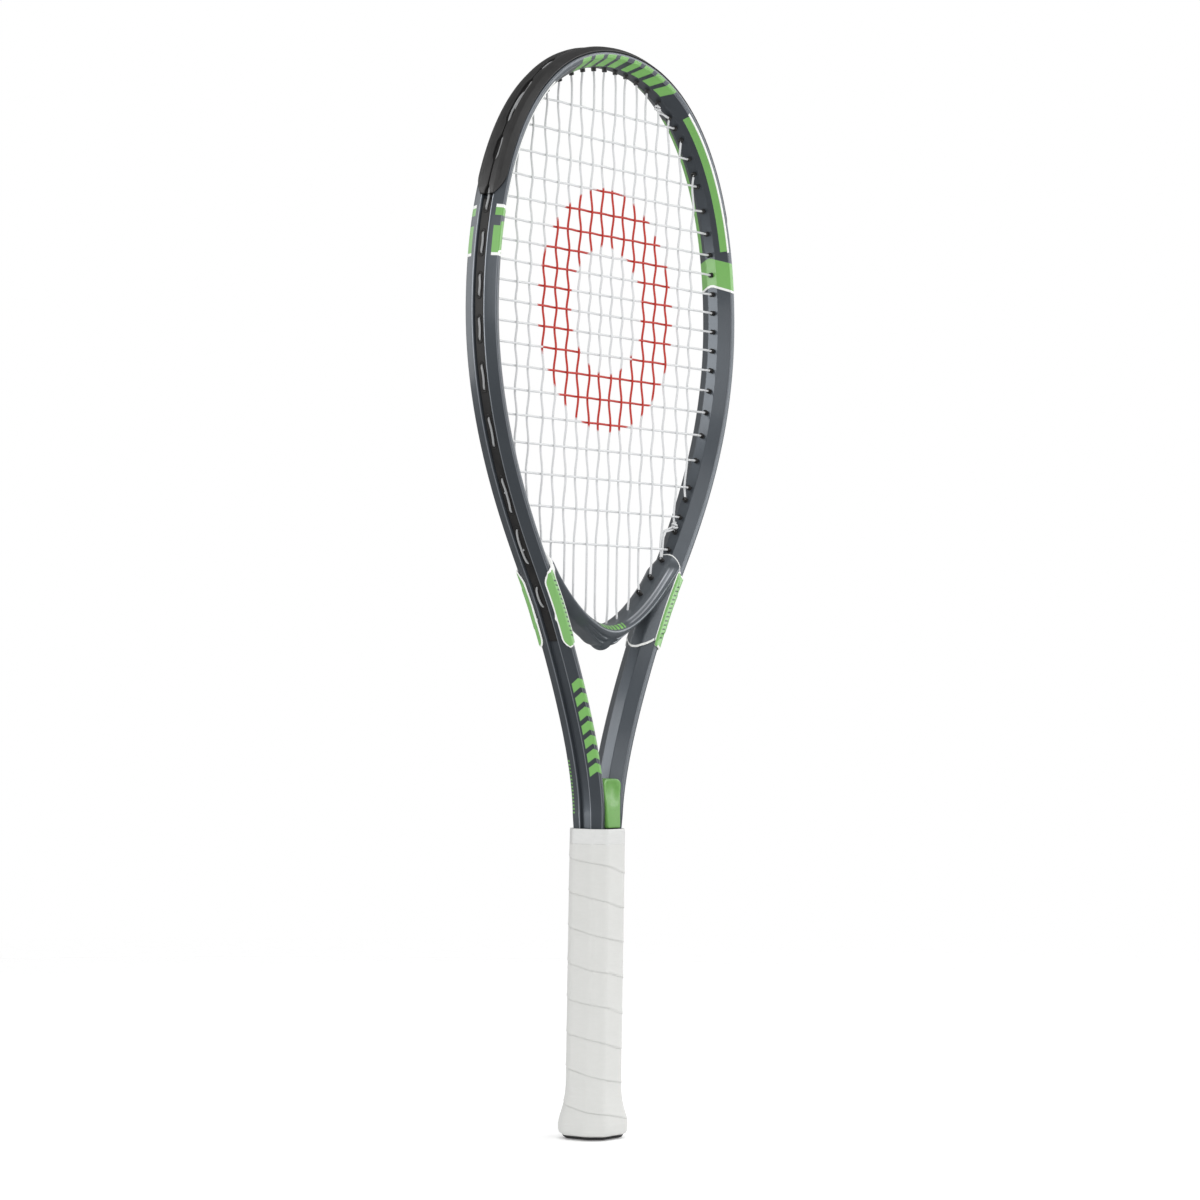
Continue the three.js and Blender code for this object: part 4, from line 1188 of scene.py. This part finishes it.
def grip_finish():
    """Off-white synthetic leather, with grain drawn out across the handle and painted shade darkening its
    seams.
    """
    finish = Finish("grip_leather", Sheen_Weight=0.25, Sheen_Roughness=0.5, Specular_IOR_Level=0.3)
    grain = finish.noise(0.6, 3)
    streaks = finish.noise(2.2, 3, (0.35, 0.35, 1.6))
    colour = finish.mixed((streaks * 0.6 + finish.noise(16, 2) * 0.5 - 0.2).clipped(), *GRIP_WHITES)
    seam, _, _ = finish.attribute("seams")
    # Painted shade darkening the seams' grooves
    colour = finish.mixed(seam * 0.22, colour, SEAM_SHADE)
    return finish.surface(colour, grain * 0.15 + 0.6, grain * 0.6 + streaks * 0.5, 0.12)


def build_finishing_tape():
    low, high = BAND_LOW_Z, BAND_HIGH_Z
    profile = [
        (0.99, low + 0.2), (1.012, low), (1.02, low + 0.4), (1.022, low + 2), (1.018, (low + high) / 2),
        (1.02, high - 1.6), (1.014, high - 0.3), (1.004, high), (0.96, high - 0.1), (0.96, high - 1),
        (0.985, low + 2),
    ]
    wrinkles = (1.6, 3, (0.3, 0.3, 1.4))
    vinyl = plain_finish(
        "vinyl_tape", TAPE_WHITES, wrinkles, (0.2, 0.4), wrinkles, 0.15, Specular_IOR_Level=0.4
    )
    mesh = tubes_mesh("finishing_tape_band", (octagon_rings(profile, 4.2), True))
    add_piece(mesh, vinyl, "finishing_tape", "finishing_tape")


def build_butt():
    black = moulded_finish("butt_nylon", BUTT_BLACKS)
    cap = [
        (0.6, 0.3), (0.63, 0), (0.98, 0), (1.05, 0.25), (1.09, 0.9), (1.125, 2), (1.14, 3.2), (1.13, 9),
        (1.08, 14), (0.95, 23), (0.905, 27.6), (0.88, 28), (0.87, 27.6), (0.87, 7.4), (0.83, 6.4), (0.6, 4),
    ]
    door = [
        (0.22, 1), (0.24, 0.45), (0.3, 0.4), (0.33, 0.05), (0.4, 0), (0.54, 0), (0.57, 0.35), (0.575, 4),
        (0.8, 6.8), (0.84, 7.4), (0.82, 7.7), (0.5, 7.7),
    ]
    for name, profile, radius, closed in (("butt_cap", cap, 3.6, True), ("butt_cap_door", door, 3.2, False)):
        mesh = tubes_mesh(name + "_moulded", (octagon_rings(profile, radius), closed))
        add_piece(mesh, black, "butt_plastic", name)


# ---- Pieces that stay as the CAD model has them, with their own finish ----


def finish_hidden_pieces():
    drawn = (0.8, 3, (1, 1, 0.15))
    steel = plain_finish("steel_wire", STEELS, drawn, (0.2, 0.3), drawn, 0.02, Metallic=1.0)
    pallet = moulded_finish("pallet_plastic", PALLET_BLACKS)
    groups = (
        ("pallet_plastic", pallet, "handle_half_", ("front", "back")),
        ("steel", steel, "handle_rivet_", ("upper", "lower")),
        ("steel", steel, "butt_staple_", ("front", "back")),
    )
    for slot, finish, name, ends in groups:
        for end in ends:
            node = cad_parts[name + end]
            node.data.materials.clear()
            node.data.materials.append(finish)


# ---- Studio ----

CAMERA_AZIMUTH = 56.187
CAMERA_DISTANCE = 2.492
CAMERA_HEIGHT = 0.29205
CAMERA_PAN = -0.018
CAMERA_RISE = 1.191
CAMERA_ROLL = 0.93
LENS = 116.475


def build_floor():
    radius, rings, around = 3.0, 24, 96
    reach = np.linspace(0.02, radius, rings)
    points = [(r * math.cos(a), r * math.sin(a), -0.0005) for r in reach for a in full_turn(around)]
    mesh = bpy.data.meshes.new("floor")
    mesh.from_pydata(points, [], [*tube_faces(rings, around, capped=False), tuple(range(around))])
    finish = Finish("pale_floor", Roughness=0.7, Specular_IOR_Level=0.2, Emission_Strength=0.2)
    x, y, _ = finish.parts(finish.millimetres())
    from_middle = (x * x + y * y).root()
    finish.feed("Base Color", finish.mixed(finish.noise(300, 2), *FLOOR_WHITES))
    finish.feed("Alpha", from_middle.above(1250, 1300).inverse())
    mesh.materials.append(finish.material)
    floor = bpy.data.objects.new("floor", mesh)
    floor.visible_glossy = False
    bpy.context.scene.collection.objects.link(floor)


def add_softbox(name, azimuth, height, distance, width, tall, power, lights_all=True):
    """An area light that looks at the racket's middle. One that doesn't light all shows only as a gleam."""
    light = bpy.data.lights.new(name, "AREA")
    light.shape, light.size, light.size_y, light.energy = "RECTANGLE", width, tall, power
    lamp = bpy.data.objects.new(name, light)
    lamp.visible_diffuse = lights_all
    angle = math.radians(azimuth)
    lamp.location = (math.sin(angle) * distance, -math.cos(angle) * distance, height)
    aim = Vector((0, 0, LENGTH * MM / 2)) - lamp.location
    lamp.rotation_mode = "QUATERNION"
    lamp.rotation_quaternion = aim.to_track_quat("-Z", "Y")
    bpy.context.scene.collection.objects.link(lamp)


def build_lights():
    world = bpy.data.worlds.new("studio")
    world.use_nodes = True
    world.cycles.sampling_method = "NONE"
    bpy.context.scene.world = world
    tree = world.node_tree
    background = next(node for node in tree.nodes if node.type == "BACKGROUND")
    seen = tree.nodes.new("ShaderNodeLightPath")
    to_camera = Wire(tree, seen.outputs["Is Camera Ray"])
    in_gloss = Wire(tree, seen.outputs["Is Glossy Ray"])
    strength = to_camera * 0.25 + 0.75 - in_gloss * 0.5
    background.inputs["Color"].default_value = (1, 1, 1, 1)
    tree.links.new(strength.socket, background.inputs["Strength"])
    add_softbox("front_right_softbox", 56, 1.5, 2.4, 1.3, 1.7, 20)
    add_softbox("top_softbox", -30, 2.6, 1.2, 1.6, 1.6, 12)
    add_softbox("camera_side_softbox", -62, 1.3, 3.2, 2.2, 1.8, 21)
    gleams = (
        ("right_gleam", 56, 1.5, 2.4, 1.3, 1.7, 22),
        ("left_gleam", -124, 0.9, 2.4, 1.3, 2.2, 36),
        ("back_gleam", -168, 0.9, 2.4, 0.8, 1.6, 9),
        ("front_edge_gleam", 36, 0.9, 2.4, 0.7, 1.5, 11),
        ("side_edge_gleam", 80, 0.9, 2.4, 0.7, 1.5, 3),
    )
    for gleam in gleams:
        add_softbox(*gleam, lights_all=False)


def build_camera():
    azimuth, rise = math.radians(CAMERA_AZIMUTH), math.radians(CAMERA_RISE)
    heading = azimuth + math.radians(CAMERA_PAN)
    forward = Vector((math.sin(heading) * math.cos(rise), math.cos(heading) * math.cos(rise), math.sin(rise)))
    right = Vector((math.cos(heading), -math.sin(heading), 0))
    up = right.cross(forward)
    roll = math.radians(CAMERA_ROLL)
    right, up = right * math.cos(roll) + up * math.sin(roll), up * math.cos(roll) - right * math.sin(roll)
    data = bpy.data.cameras.new("camera")
    data.lens, data.sensor_width, data.clip_end = LENS, 36, 100
    camera = bpy.data.objects.new("camera", data)
    camera.matrix_world = Matrix((right, up, -forward)).transposed().to_4x4()
    across = CAMERA_DISTANCE * math.sin(azimuth), CAMERA_DISTANCE * math.cos(azimuth)
    camera.location = (-across[0], -across[1], CAMERA_HEIGHT)
    bpy.context.scene.collection.objects.link(camera)
    bpy.context.scene.camera = camera
    bpy.context.scene.view_settings.view_transform = "Standard"


build_camera()
build_lights()
build_floor()
build_frame()
build_guard()
build_strips()
build_strings()
build_bridge()
build_wedge()
build_grip()
build_finishing_tape()
build_butt()
finish_hidden_pieces()
